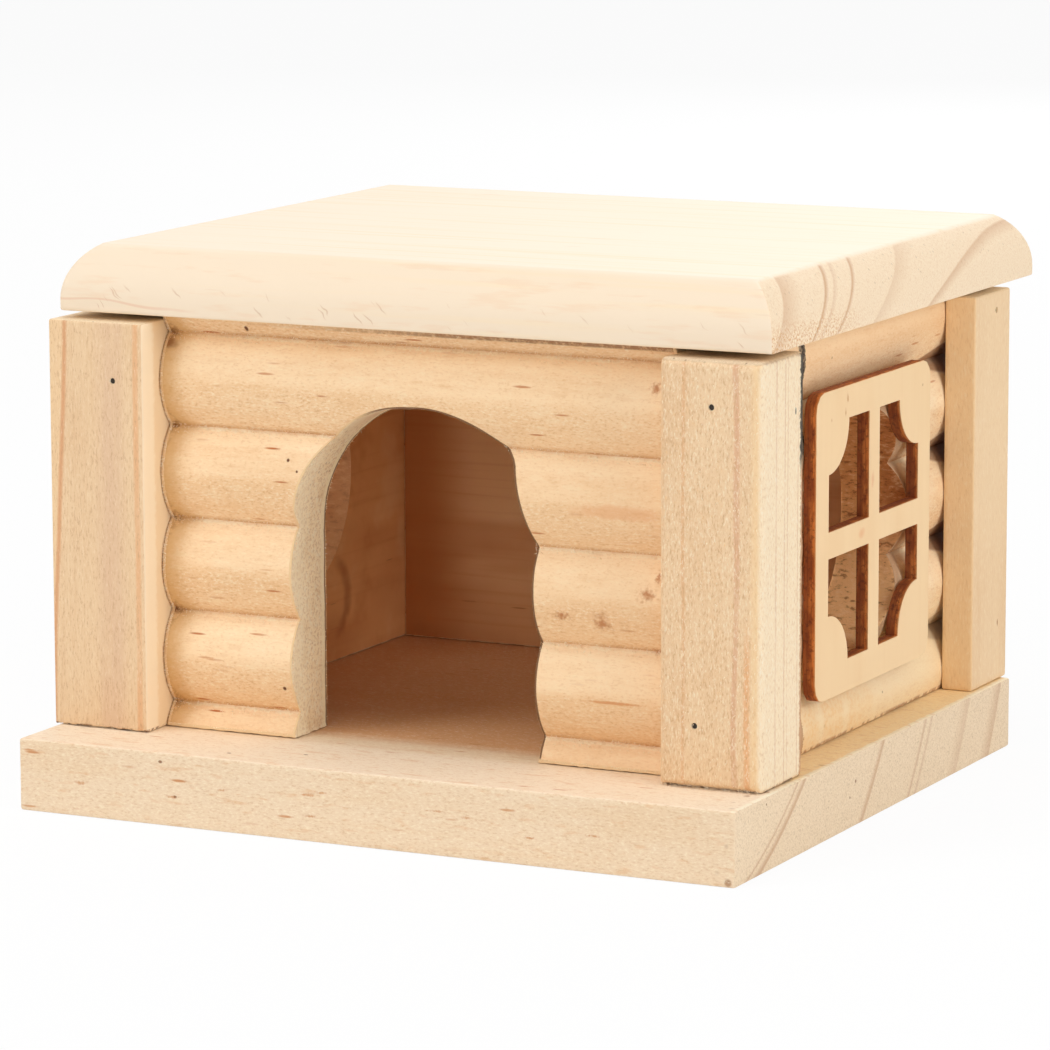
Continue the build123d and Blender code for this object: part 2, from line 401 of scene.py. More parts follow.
class Shader:
    """The node tree of one material, or of the world."""

    def __init__(self, name, world=False):
        self.block = (bpy.data.worlds if world else bpy.data.materials).new(name)
        self.block.use_nodes = True
        self.tree = self.block.node_tree
        self.tree.nodes.clear()

    def node(self, kind, settings, inputs):
        """Adds a node: its settings first, then the values or links of its sockets."""
        node = self.tree.nodes.new(kind)
        for key, value in settings.items():
            if key == "stops":
                ramp = node.color_ramp
                while len(ramp.elements) < len(value):
                    ramp.elements.new(0.5)
                for element, (position, colour) in zip(ramp.elements, value):
                    element.position = position
                    element.color = colour
            else:
                setattr(node, key, value)
        for key, value in inputs.items():
            if isinstance(value, Number):
                value = value.socket
            if isinstance(value, bpy.types.NodeSocket):
                self.tree.links.new(value, node.inputs[key])
            else:
                node.inputs[key].default_value = value
        return node

    def number(self, kind, settings, inputs, output=0):
        return Number(self, self.node(kind, settings, inputs).outputs[output])

    def split(self, vector):
        """The three numbers of a vector."""
        parts = self.node("ShaderNodeSeparateXYZ", {}, {0: vector})
        return [Number(self, socket) for socket in parts.outputs]

    def vector(self, x, y, z):
        return self.node("ShaderNodeCombineXYZ", {}, {0: x, 1: y, 2: z}).outputs[0]

    def noise(self, vector, scale=1.0, detail=2.0, roughness=0.5):
        """Noise from 0 to 1."""
        inputs = {"Vector": vector, "Scale": scale, "Detail": detail, "Roughness": roughness}
        return self.number("ShaderNodeTexNoise", {}, inputs)

    def spots(self, vector, seed):
        """Distance to the nearest of scattered points, and a random number for that point."""
        shift = (seed, seed * 1.7, seed * 2.3)
        moved = self.node("ShaderNodeVectorMath", {"operation": "ADD"}, {0: vector, 1: shift})
        cells = self.node("ShaderNodeTexVoronoi", {}, {"Vector": moved.outputs[0], "Scale": 1.0})
        chance = self.split(cells.outputs["Color"])[0]
        return Number(self, cells.outputs["Distance"]), chance

    def white_to_see(self):
        """1 for rays from the camera, off gloss and through clear stuff, 0 for light on matt surfaces."""
        paths = self.node("ShaderNodeLightPath", {}, {}).outputs
        seen = [Number(self, paths[f"Is {kind} Ray"]) for kind in ("Camera", "Glossy", "Transmission")]
        return seen[0] + seen[1] + seen[2]

    def ramp(self, value, stops):
        """A number from 0 to 1 along grey stops."""
        grey = [(position, (level, level, level, 1.0)) for position, level in stops]
        return self.number("ShaderNodeValToRGB", {"stops": grey}, {0: value})

    def blend(self, share, first, second, kind="MIX"):
        """Mix of two colours."""
        settings = {"data_type": "RGBA", "blend_type": kind}
        return self.node("ShaderNodeMix", settings, {0: share, 6: first, 7: second}).outputs[2]

    def surface(self, colour, roughness, height=None, height_size=0.1 * mm, **inputs):
        """Closes the tree with a Principled shader, its relief from a height from 0 to 1."""
        inputs = {"Base Color": colour, "Roughness": roughness, "IOR": 1.45} | inputs
        if height is not None:
            relief = {"Strength": 1.0, "Distance": height_size, "Height": height}
            inputs["Normal"] = self.node("ShaderNodeBump", {}, relief).outputs[0]
        shader = self.node("ShaderNodeBsdfPrincipled", {}, inputs)
        self.node("ShaderNodeOutputMaterial", {}, {"Surface": shader.outputs[0]})
        return self.block


class Pine(Shader):
    """Pine as a solid piece: each method lays one feature of the wood over those before it."""

    def __init__(self, name, grain, plain, seed, end_tilt=(0.62, 0.9)):
        super().__init__(name)
        place = self.node("ShaderNodeTexCoord", {}, {})
        self.place = place.outputs["Object"]
        self.x, self.y, self.z = self.split(self.place)
        self.tilt = dict(zip("XYZ", self.split(place.outputs["Normal"])))
        axes = {"X": (self.x, self.y, self.z), "Y": (self.y, self.z, self.x), "Z": (self.z, self.x, self.y)}
        self.along, self.a, self.b = axes[grain]
        self.seed = seed
        self.ends = abs(self.tilt[grain]).rise(*end_tilt)
        self.sides = 1 - self.ends
        self.colour = srgb(*plain)
        self.height = self.flow(9 * mm, 0.4 * mm) * 0.3 * self.sides + 0.5
        self.wavy = self.flow(40 * mm, 9 * mm, shift=5.0) - 0.5

    def flow(self, length, width, detail=2.0, roughness=0.5, shift=0.0):
        """Noise from 0 to 1 in patches of this length along the grain and width across it."""
        where = self.vector(self.along / length + (self.seed + shift), self.a / width, self.b / width)
        return self.noise(where, detail=detail, roughness=roughness)

    def specks(self, scale, detail=3.0, roughness=0.7):
        """Noise from 0 to 1 that runs alike in all directions."""
        return self.noise(self.place, scale, detail, roughness)

    def off_axis(self, y, z):
        """Distance from the line along X that runs through y and z."""
        away_y = self.y - float(y)
        away_z = self.z - float(z)
        return (away_y * away_y + away_z * away_z) ** 0.5

    def lay(self, share, colour):
        """Lays a screen colour over the wood, by a share from 0 to 1."""
        self.colour = self.blend(share, self.colour, srgb(*colour))

    def figure(self, colour, patches=0.35, streaks=0.25):
        """Broad patches and fine streaks of a second tone along the grain."""
        self.lay(self.flow(48 * mm, 13 * mm).rise(0.45, 0.75) * patches, colour)
        fine = self.flow(70 * mm, 1.7 * mm, 3.0, 0.6, shift=1.0).rise(0.48, 0.8)
        self.lay(fine * streaks * self.sides, colour)

    def strokes(self, light, dark, share, length=1.9 * mm, width=0.42 * mm, where=1.0, depth=0.8):
        """Short torn fibres as the saw leaves them."""
        torn = self.flow(length, width, 3.0, 0.65, shift=2.0)
        raised = torn.rise(0.53, 0.68) * self.sides * where
        sunk = torn.rise(0.47, 0.32) * self.sides * where
        self.lay(raised * share, light)
        self.lay(sunk * share, dark)
        self.height = self.height + (raised - sunk) * (share * depth)

    def canals(self, colour, share, length=14 * mm, width=1.3 * mm, common=0.2):
        """Resin canals: thin dashes along the grain, a few near each other."""
        where = self.vector(self.along / length + self.seed, self.a / width, self.b / width)
        distance, chance = self.spots(where, self.seed + 3.1)
        company = self.flow(45 * mm, 12 * mm, shift=6.0).rise(0.42, 0.62) * 0.8 + 0.2
        dash = distance.rise(0.19, 0.08) * chance.rise(1 - common, 1.04 - common) * company * self.sides
        self.lay(dash * share, colour)
        self.height = self.height - dash * 0.4

    def rings(self, pith, lines, colour, on_sides, on_ends, wander=2.0 * mm):
        """Late wood in rings round the pith; lines: (radius, softness inside, strength), small to large."""
        where = self.vector(self.along * 9 + self.seed, self.a * 30, self.b * 30)
        sway = self.node("ShaderNodeTexNoise", {}, {"Vector": where, "Scale": 1.0, "Detail": 2.0})
        sway_a, sway_b = self.split(sway.outputs["Color"])[:2]
        away_a = self.a - pith[0] + (sway_a - 0.5) * wander
        away_b = self.b - pith[1] + (sway_b - 0.5) * wander
        radius = (away_a * away_a + away_b * away_b) ** 0.5
        low = lines[0][0] - lines[0][1] - 1 * mm
        span = lines[-1][0] + 1 * mm - low
        stops = []
        for line_radius, soft, strength in lines:
            stops += [((line_radius - soft - low) / span, 0.0), ((line_radius - low) / span, strength),
                      ((line_radius + 0.35 * mm - low) / span, 0.0)]
        late = self.ramp((radius - low) / span, stops)
        self.lay(late * (self.sides * on_sides + self.ends * on_ends), colour)

    def stripe(self, coordinate, at, half, colour, share, sway=2.0 * mm):
        """A coloured band along the grain at one place across it."""
        off = abs(coordinate - at + self.wavy * sway)
        uneven = self.flow(22 * mm, 2.5 * mm, shift=7.0).rise(0.25, 0.6) * 0.6 + 0.4
        self.lay(off.rise(half, half * 0.3) * uneven * self.sides * share, colour)

    def mark(self, centre, size, colour, share=1.0, depth=0.0, rough=0.7, fine=0.6):
        """A blotch, knot or pit: centre and half sizes in the model's frame."""
        away = self.node("ShaderNodeVectorMath", {"operation": "SUBTRACT"}, {0: self.place, 1: centre})
        scaled = self.node("ShaderNodeVectorMath", {"operation": "DIVIDE"}, {0: away.outputs[0], 1: size})
        far = self.node("ShaderNodeVectorMath", {"operation": "LENGTH"}, {0: scaled.outputs[0]})
        ragged = self.noise(self.place, scale=fine / min(size), detail=2.0) - 0.5
        blot = (Number(self, far.outputs["Value"]) + ragged * rough).rise(1.1, 0.75 - rough * 0.4)
        self.lay(blot * share, colour)
        if depth:
            self.height = self.height - blot * depth

    def marks(self, axis, at, half, colour, rows, *looks):
        """Marks on a face across an axis; rows: (u, v, half width, half height) in millimetres."""
        for u, v, width, tall in rows:
            centre, size = [u * mm, v * mm], [width * mm, tall * mm]
            centre.insert(axis, at)
            size.insert(axis, half)
            self.mark(tuple(centre), tuple(size), colour, *looks)

    def crumbs(self, share, colour, scale, rare):
        """Fine round dots; rare is the share of places left without one."""
        distance, chance = self.spots(self.vector(self.x * scale, self.y * scale, self.z * scale), self.seed)
        self.lay(distance.rise(0.42, 0.18) * chance.rise(rare, rare + 0.06) * share, colour)

    def end_grain(self, plain, dark, light, pits=0.6):
        """Cut ends: plain tone, pores and fine sawn texture."""
        pores = self.flow(1.1 * mm, 0.38 * mm, 2.0, 0.7, shift=4.0)
        self.lay(self.ends, plain)
        self.lay(pores.rise(0.5, 0.3) * self.ends * 0.5, dark)
        self.lay(pores.rise(0.54, 0.72) * self.ends * 0.5, light)
        where = self.vector(self.along / (1.6 * mm), self.a / (1.1 * mm), self.b / (1.1 * mm))
        distance, chance = self.spots(where, self.seed)
        pit = distance.rise(0.3, 0.12) * chance.rise(0.8, 0.85) * self.ends
        self.lay(pit * pits, (120, 78, 44))
        self.height = self.height + (pores * 0.6 - pit * 0.6) * self.ends

    def finish(self, roughness=0.62, relief=0.12 * mm):
        return self.surface(self.colour, roughness, self.height * 0.5, relief, **{"Specular IOR Level": 0.3})


# ---------------------------------------------------------------- woods

def log_wood(name, grain, first, seed, pith, plain=(254, 222, 180)):
    """Planed pine of a log-faced wall: logs darker in their lower halves and along a line between them, both
    painted shade, and pale tufts there.
    """
    wood = Pine(name, grain, plain, seed)
    wood.figure((238, 194, 144), 0.4, 0.3)
    wood.rings(pith, [(radius * mm, 5 * mm, 0.5) for radius in range(60, 160, 12)], (236, 184, 130), 0.5, 0.3)
    wood.phase = ((wood.z - (floor_top + first)) / log_pitch).fraction()
    # Painted shade: the logs' lower halves are darker.
    lower = wood.phase.rise(0.58, 0.42)
    wood.lay(lower * (wood.flow(30 * mm, 6 * mm, shift=8.0) * 0.5 + 0.2), (233, 187, 136))
    wood.strokes((255, 236, 204), (216, 164, 112), 0.6, 0.9 * mm, 0.4 * mm, lower * 0.5 + 0.5)
    wood.groove = abs(wood.phase - 0.5)
    broken = wood.flow(6 * mm, 9 * mm, shift=9.0).rise(0.3, 0.6) * 0.6 + 0.4
    # Painted shade: a dark line in each groove and on the log just above it.
    wood.lay(wood.groove.rise(0.466, 0.497) * broken * 0.25, (206, 150, 94))
    wood.lay(wood.phase.rise(0.06, 0.005) * broken * 0.45, (200, 144, 90))
    fringe = wood.phase + (wood.specks(1100.0) - 0.5) * 0.07
    tufts = wood.flow(14 * mm, 9 * mm, shift=17.0).rise(0.35, 0.6) * 0.7 + 0.3
    wood.lay(fringe.rise(0.955, 0.975) * fringe.rise(1.01, 0.99) * tufts * 0.6, (255, 242, 212))
    mottled = wood.flow(5 * mm, 1.5 * mm, 4.0, 0.65, shift=11.0)
    wood.lay(mottled.rise(0.5, 0.7) * 0.28, (230, 182, 130))
    wood.lay(mottled.rise(0.48, 0.3) * 0.3, (255, 234, 196))
    wood.canals((192, 108, 50), 1.0, 14 * mm, 1.8 * mm, 0.62)
    return wood


def inner_wood(name, grain, seed, plain=(243, 193, 138)):
    """The walls' flat inner faces, unplaned, warmer and darker than the outside as painted shade of the
    house's inside.
    """
    wood = Pine(name, grain, plain, seed)
    wood.figure((216, 146, 90), 0.6, 0.4)
    wood.canals((150, 84, 44), 0.7)
    return wood


def sawn_wood(name, grain, seed, cut=(228, 204, 168)):
    """Unplaned cuts: streaky along the grain, grey and speckled where the saw crosses it."""
    wood = Pine(name, grain, (241, 213, 174), seed, end_tilt=(0.4, 0.75))
    wood.figure((228, 188, 140), 0.4, 0.4)
    wood.strokes((252, 234, 204), (214, 172, 126), 0.5)
    wood.lay(wood.ends, cut)
    wood.lay(wood.specks(260.0, 3.0, 0.6).rise(0.4, 0.75) * wood.ends * 0.4, (220, 182, 130))
    wood.lay(wood.specks(1500.0, 2.0, 0.6).rise(0.5, 0.4) * wood.ends * 0.45, (204, 162, 114))
    wood.lay(wood.specks(1300.0, 2.0, 0.6).rise(0.5, 0.66) * wood.ends * 0.65, (250, 236, 208))
    wood.crumbs(wood.ends * 0.4, (156, 110, 70), 1000.0, 0.85)
    wood.height = wood.height + wood.specks(1500.0) * wood.ends
    return wood


def steel():
    """Dull grey steel of the brads."""
    metal = Shader("brad_steel")
    here = metal.node("ShaderNodeTexCoord", {}, {}).outputs["Object"]
    scuffs = metal.noise(here, scale=4000.0, detail=3.0)
    colour = metal.blend(scuffs, srgb(44, 38, 34), srgb(84, 78, 72))
    return metal.surface(colour, scuffs * 0.3 + 0.35, scuffs, 0.02 * mm, Metallic=0.9)


# ---------------------------------------------------------------- pieces

def corners(node):
    low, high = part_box(node)
    return np.array(low), np.array(high)


def log_depth(v, first):
    """How far a log's face lies behind its crest at height v, for logs that meet first above the floor."""
    rise = (v - floor_top - first) % log_pitch - log_pitch / 2
    bow = (log_pitch ** 2 / 4 + log_bulge ** 2) / (2 * log_bulge)
    return bow - np.sqrt(bow ** 2 - rise ** 2)


def log_rows(low, high, first):
    """Heights of the face's rows, close together beside the grooves."""
    start = floor_top + first - log_pitch
    shares = (1 - np.cos(np.linspace(0, math.pi, 25))) / 2
    rows = np.concatenate([start + log_pitch * (turn + shares[:-1]) for turn in range(7)])
    return rows[(rows > low) & (rows < high)]


def outer_face(node, axis, outward):
    """Where a piece's box ends along an axis; outward: +1 or -1."""
    low, high = corners(node)
    return high[axis] if outward > 0 else low[axis]


def placed(node, axis, outward):
    """Maker of points from u, v and depth, for a board whose face looks along an axis."""
    first, second = [other for other in (0, 1, 2) if other != axis]
    face_at = outer_face(node, axis, outward)

    def place(u, v, depth):
        points = np.empty((len(u), 3))
        points[:, first] = u
        points[:, second] = v
        points[:, axis] = face_at - outward * depth
        return points

    return place


def flat_back(node, axis):
    """Maker of the depth of a board's flat back."""
    low, high = corners(node)
    return lambda uv: np.full(len(uv), high[axis] - low[axis])


def skin(uv, long, high, seed):
    """Noise from -1 to 1 over a broad face, in lumps of this length and height."""
    return noise(np.column_stack((uv, np.zeros(len(uv)))), (long, high, 1), seed)


def log_wall(name, node, across, outward, first, holes, outline=None, rim=FACE):
    """A log-faced board. across: the axis it runs along, 0 or 1. outward: +1 or -1, where its logs face."""
    low, high = corners(node)
    straight = placed(node, 1 - across, outward)

    def place(u, v, depth):
        points = straight(u, v, depth)
        wobble = noise(points * (1, 1, 0), (9 * mm, 9 * mm, 1), 5) * 0.12 * mm
        points[:, 2] += wobble * np.minimum(1, np.minimum(v - low[2], high[2] - v) / (2 * mm))
        return points

    def face(uv):
        sanding = skin(uv, 14 * mm, 5 * mm, 7) * 0.08 * mm
        saw = skin(uv, 1.2 * mm, 0.8 * mm, 8) * 0.03 * mm
        return np.clip(log_depth(uv[:, 1], first) + sanding + saw + 0.06 * mm, 0.0, None)

    def bite(points):
        worn = (noise(points, (0.8 * mm,) * 3, 11) + 1) * 0.09 * mm
        worn += (noise(points, (3.1 * mm,) * 3, 13) + 1) * 0.1 * mm
        ends = np.minimum(points[:, across] - low[across], high[across] - points[:, across]) < at_the_side
        ends &= points[:, 2] < high[2] - 0.3 * mm
        foot = points[:, 2] - low[2] < at_the_side
        torn = (noise(points, (0.7 * mm,) * 3, 12) + 1) * 0.06 * mm
        return np.where(ends, torn - end_reach, np.where(foot, 2 * torn - foot_reach, worn))

    outer = outline or rectangle((low[across], low[2]), (high[across], high[2]), 0.15 * mm, saw_step)
    us = spaced(low[across], high[across], 1.0 * mm)
    vs = log_rows(low[2], high[2], first)
    worked = 0.6 * mm if rim == CUT else 0.35 * mm
    edge = [(0.0, 0.12 * mm), (0.1 * mm, 0.03 * mm), (worked, 0.0)]
    back, back_edge = flat_back(node, 1 - across), rounding(0.12 * mm, 2)
    return board(name, [outer, *holes], place, face, back, us, vs, edge, back_edge, 22, bite, rim=rim)


def flat_board(name, node, depth_axis, outward, edge, step, rows, rough=0.03 * mm, radius=0.4 * mm,
               torn_foot=0.0, pits=(), back_pits=()):
    """A plain sawn board or stick whose broad face looks along depth_axis, outward being +1 or -1."""
    low, high = corners(node)
    first, second = [axis for axis in (0, 1, 2) if axis != depth_axis]

    def face(uv):
        hollow = (skin(uv, 18 * mm, 18 * mm, 21) + 1) * rough * 0.6
        return hollow + (skin(uv, 1.1 * mm, 1.1 * mm, 22) + 1) * rough * 0.4

    def bite(points):
        marks = (noise(points, (5 * mm,) * 3, 24) + noise(points, (0.8 * mm,) * 3, 25) + 2) * rough * 0.5
        foot = points[:, second] - low[second] < at_the_side
        return marks + np.where(foot, (noise(points, (0.7 * mm,) * 3, 26) + 1) * torn_foot / 2, 0)

    outer = rectangle((low[first], low[second]), (high[first], high[second]), radius, step)
    us, vs = spaced(low[first], high[first], step), spaced(low[second], high[second], step)
    place, back = placed(node, depth_axis, outward), flat_back(node, depth_axis)
    back_edge = rounding(0.4 * mm, 2)
    return board(name, [outer], place, face, back, us, vs, edge, back_edge, rows, bite, pits, back_pits)


def nail_places(node, across, up, within=None):
    """Where a group's brads stand along two axes, or those of them that stand inside a piece's box."""
    mesh = frame["nodes"][node].data
    work = bmesh.new()
    work.from_mesh(mesh)
    bmesh.ops.remove_doubles(work, verts=work.verts, dist=0.001 * mm)
    places, left = [], set(work.verts)
    while left:
        found, edge = set(), [left.pop()]
        while edge:
            here = edge.pop()
            found.add(here)
            fresh = [bond.other_vert(here) for bond in here.link_edges if bond.other_vert(here) in left]
            left.difference_update(fresh)
            edge += fresh
        points = np.array([vertex.co for vertex in found])
        places.append((points.min(axis=0) + points.max(axis=0)) / 2)
    work.free()
    if within:
        low, high = corners(within)
        places = [p for p in places if all(low[axis] < p[axis] < high[axis] for axis in (across, up))]
    return sorted((float(p[across]), float(p[up])) for p in places)


floor_top = corners("floor_board")[1][2]
post_left, post_right = corners("front_left_post"), corners("front_right_post")
door_x = (post_left[0][0] + post_right[1][0]) / 2 + door_offset
frame_right = corners("right_window_frame")
window_centre = (frame_right[0][1:] + frame_right[1][1:]) / 2


def door_wall_outline(step):
    """Outline of the front wall with the door sawn out of it, counter-clockwise."""
    low, high = corners("front_wall")
    spring = floor_top + door_spring
    point = (door_x + shoulder[0], floor_top + shoulder[1])
    neck = (door_x + neck_out, spring)
    foot_height = low[2]
    foot = (door_x + neck_out + (foot_out - neck_out) * (spring - foot_height) / spring, foot_height)
    apex = (door_x, spring + door_arch)
    chord = np.array(point) - np.array(apex)
    length = float(np.linalg.norm(chord))
    bow = (length ** 2 / 4 + shoulder_bow ** 2) / (2 * shoulder_bow)
    normal = np.array((chord[1], -chord[0])) / length
    if normal[1] > 0:
        normal = -normal
    middle = (np.array(apex) + np.array(point)) / 2 + normal * (bow - shoulder_bow)
    first = math.degrees(math.atan2(apex[1] - middle[1], apex[0] - middle[0]))
    last = math.degrees(math.atan2(point[1] - middle[1], point[0] - middle[0]))
    right_side = divided([foot, neck, point], step)
    crown = arc(middle, bow, last, first, step)
    left_arch = arc((door_x, spring), door_arch, 90, 180, step)
    start = (door_x - door_arch, spring)
    left_foot = (door_x - door_arch, foot_height)
    corner = (low[0], low[2])
    edge = divided([corner, left_foot, start], step)
    edge += left_arch[::-1][:-1] + crown[::-1][:-1] + right_side[::-1][:-1]
    return edge + divided([foot, (high[0], low[2]), (high[0], high[2]), (low[0], high[2]), corner], step)


def front_wall_wood():
    """Outside of the front wall: torn, with painted shade, beside the left post; painted shade in its top
    corner and to the right; knots, pinholes, a painted shadow at its top.
    """
    low, high = corners("front_wall")
    wood = log_wood("front_wall_pine", "X", front_groove, 1.0, (-120 * mm, 60 * mm))
    # Painted shade: darker towards the right.
    wood.lay(wood.x.rise(-30 * mm, 30 * mm) * 0.15, (236, 196, 150))
    ragged = wood.specks(900.0)
    off_crest = wood.groove * 2
    # Painted shade beside the left post, ragged like the torn ends and reaching furthest in the grooves.
    ended = wood.x + (ragged - 0.5) * (3.4 * mm) - off_crest ** 4 * (3 * mm)
    wood.lay(ended.rise(low[0] + 6.0 * mm, low[0] + 0.6 * mm) * 0.7, (220, 172, 108))
    wood.lay(ended.rise(low[0] + 1.2 * mm, low[0] + 0.2 * mm) * ragged.rise(0.42, 0.6) * 0.5, (176, 122, 70))
    corner = off_crest.rise(0.86, 0.98) * wood.x.rise(low[0] + 3.0 * mm, low[0] + 1.0 * mm)
    wood.lay(corner * ragged.rise(0.35, 0.6) * 0.7, (140, 88, 46))
    wood.lay(wood.x.rise(high[0] - 2.2 * mm, high[0]) * ragged * 0.7, (214, 160, 104))
    crest, through = -49.5 * mm, 6 * mm
    # Painted shade in the top corner beside the left post, under the roof.
    corner_shade = [(-57.2, 94.8, 2.6, 1.5)]
    torn_hollows = [(-57.6, 38.9, 1.8, 0.9)]
    pinholes = [(-39.7, 98.6, 0.5, 0.7), (-29.4, 72.5, 0.4, 0.4), (-27.6, 64.8, 0.55, 0.55),
                (-30.8, 25.3, 0.45, 0.45), (-27.2, 70.4, 0.3, 0.35)]
    bark_knots = [(40.9, 45.0, 2.3, 2.4), (32.1, 45.5, 2.2, 1.2), (50.9, 51.0, 2.4, 1.7),
                  (53.0, 54.6, 1.0, 1.6), (52.2, 39.3, 2.6, 0.8), (52.6, 92.0, 1.4, 1.4)]
    wood.marks(1, crest, through, (140, 82, 42), corner_shade, 0.7, 0.0, 1.4)
    wood.marks(1, crest, through, (120, 66, 30), torn_hollows, 0.7, 0.0, 1.4)
    wood.marks(1, crest, through, (96, 44, 16), pinholes, 0.95, 0.8, 0.5)
    wood.marks(1, crest, through, (188, 118, 68), bark_knots, 0.85, 0.4, 2.0, 1.9)
    wood.marks(1, crest, through, (236, 178, 128), [(44.4, 67.0, 12, 1.8)], 0.6, 0.0, 0.8)
    wood.marks(1, crest, through, (214, 140, 80), [(43.5, 28.9, 7, 0.35)], 0.7, 0.0, 0.6)
    under_roof = wood.z.rise(99.1 * mm, 99.5 * mm) * wood.x.rise(-50 * mm, 20 * mm)
    wood.lay(under_roof * (ragged.rise(0.35, 0.55) * 0.5 + 0.5) * 0.75, (122, 72, 36))
    return wood.finish()


def door_cut():
    """Saw cuts of the front wall: pale round the door and paler to the front as painted light, painted shade
    at the end by the left post, its front arris dark at the top and the right.
    """
    low, high = corners("front_wall")
    sawn = sawn_wood("door_cut", "X", 1.0, (252, 230, 192))
    # Painted light: paler towards the front of the cut.
    sawn.lay(sawn.y.rise(low[1] + 9 * mm, low[1] + 3 * mm) * 0.35, (255, 244, 214))
    sawn.lay(sawn.y.rise(high[1] - 2.6 * mm, high[1] - 1.4 * mm) * 0.7, (255, 238, 200))
    sawn.lay(sawn.y.rise(high[1] - 0.8 * mm, high[1] - 0.4 * mm) * 0.85, (120, 66, 30))
    # Painted shade on the end beside the left post.
    sawn.lay(sawn.x.rise(low[0] + 1.2 * mm, low[0] + 0.6 * mm) * 0.9, (128, 84, 46))
    arris = sawn.tilt["Y"].rise(-0.3, -0.5)
    sawn.lay(arris * 0.95, (240, 204, 156))
    top_right = sawn.x.rise(door_x - 14 * mm, door_x - 6 * mm)
    top_right = top_right * sawn.x.rise(door_x + 31 * mm, door_x + 30 * mm)
    top_right = top_right * sawn.z.rise(94 * mm, 92 * mm) * sawn.z.rise(low[2] + 0.4 * mm, low[2] + 1.0 * mm)
    sawn.lay(arris * top_right * 0.85, (96, 50, 20))
    return sawn.finish(0.8, 0.2 * mm)


def front_wall():
    outside = front_wall_wood()
    inside_face = inner_wood("front_wall_inner_face", "X", 1.5).finish()
    outline = mitred(door_wall_outline(saw_step))
    obj = log_wall("front_wall_logs", "front_wall", 0, -1, front_groove, [], outline, CUT)
    finish_piece(obj, "front_wall", outside, inside_face, door_cut())


def back_wall():
    wood = log_wood("back_wall_pine", "X", front_groove, 2.0, (160 * mm, 20 * mm)).finish()
    obj = log_wall("back_wall_logs", "back_wall", 0, 1, front_groove, [])
    inner = inner_wood("back_wall_inner_face", "X", 2.5, (255, 210, 156))
    # Painted shade of the house's inside: darkest in the left corner, darker right of the middle and low
    # down.
    inner.lay(inner.x.rise(-40 * mm, -56 * mm) * 0.85, (206, 134, 74))
    inner.lay(inner.x.rise(-12 * mm, 8 * mm) * 0.25, (206, 140, 84))
    inner.lay(inner.z.rise(36 * mm, 22 * mm) * 0.35, (206, 134, 76))
    finish_piece(obj, "back_wall", wood, inner.finish(), wood)


def side_wall_wood(side, outward, seed):
    """Outside of a side wall, torn low down in front of the window; painted shade behind the front post,
    under the rear strip, round the window hole and under the roof; painted light low down.
    """
    pith = (40 * mm, outward * 140 * mm)
    wood = log_wood(f"{side}_wall_pine", "Y", side_groove, seed, pith, (255, 230, 192))
    pinholes = [(-6.3, 93.9, 0.35, 0.35), (21.8, 20.4, 0.4, 0.3), (-9.0, 19.0, 0.5, 0.4)]
    wood.marks(0, outer_face(f"{side}_wall", 0, outward), 6 * mm, (110, 56, 24), pinholes, 0.9, 0.6, 0.5)
    torn = wood.specks(1000.0, 3.0, 0.65).rise(0.42, 0.62) * 0.6 + 0.4
    torn = torn * wood.specks(160.0, 2.0, 0.5).rise(0.36, 0.56) * wood.z.rise(32 * mm, 22 * mm)
    wood.lay(torn * wood.y.rise(30 * mm, 0 * mm) * 0.9, (238, 176, 96))
    # Painted shade in the grooves near the rear strip and on the face beneath it.
    notch = wood.groove + wood.y.rise(42 * mm, 60 * mm) * 0.17
    wood.lay(notch.rise(0.48, 0.52) * wood.y.rise(43 * mm, 50 * mm) * 0.7, (136, 80, 42))
    wood.lay(wood.y.rise(57 * mm, 59.6 * mm) * 0.8, (136, 80, 42))
    # Painted light low down; painted shade under the roof.
    wood.lay(wood.z.rise(42 * mm, 28 * mm) * 0.5, (255, 233, 188))
    wood.lay(wood.z.rise(88 * mm, 94 * mm) * 0.5, (236, 190, 140))
    # Painted shade round the window hole, beneath the frame.
    rim = wood.off_axis(*window_centre).rise(window_hole + 4 * mm, window_hole + 1 * mm)
    wood.lay(rim * 0.6, (180, 124, 80))
    patchy = wood.specks(700.0).rise(0.35, 0.6)
    # Painted shade behind the front post.
    post_shade = wood.y.rise(-32.6 * mm, -36.0 * mm) * (patchy * 0.6 + 0.4)
    wood.lay(post_shade * 0.7, (142, 84, 42))
    if side == "right":
        streak = (wood.y + (patchy - 0.5) * (0.7 * mm)).rise(-19.7 * mm, -20.0 * mm)
        streak = streak * wood.y.rise(-23.5 * mm, -22.5 * mm)
        wood.lay(streak * wood.z.rise(72 * mm, 78 * mm) * (patchy * 0.3 + 0.7), (34, 22, 14))
        wood.lay(streak * wood.z.rise(78 * mm, 72 * mm) * 0.6, (160, 92, 44))
    foot = wood.z.rise(16.2 * mm, 15.5 * mm) * wood.specks(400.0, 2.0, 0.6).rise(0.4, 0.56)
    wood.lay(foot * 0.6, (150, 86, 40))
    return wood.finish()


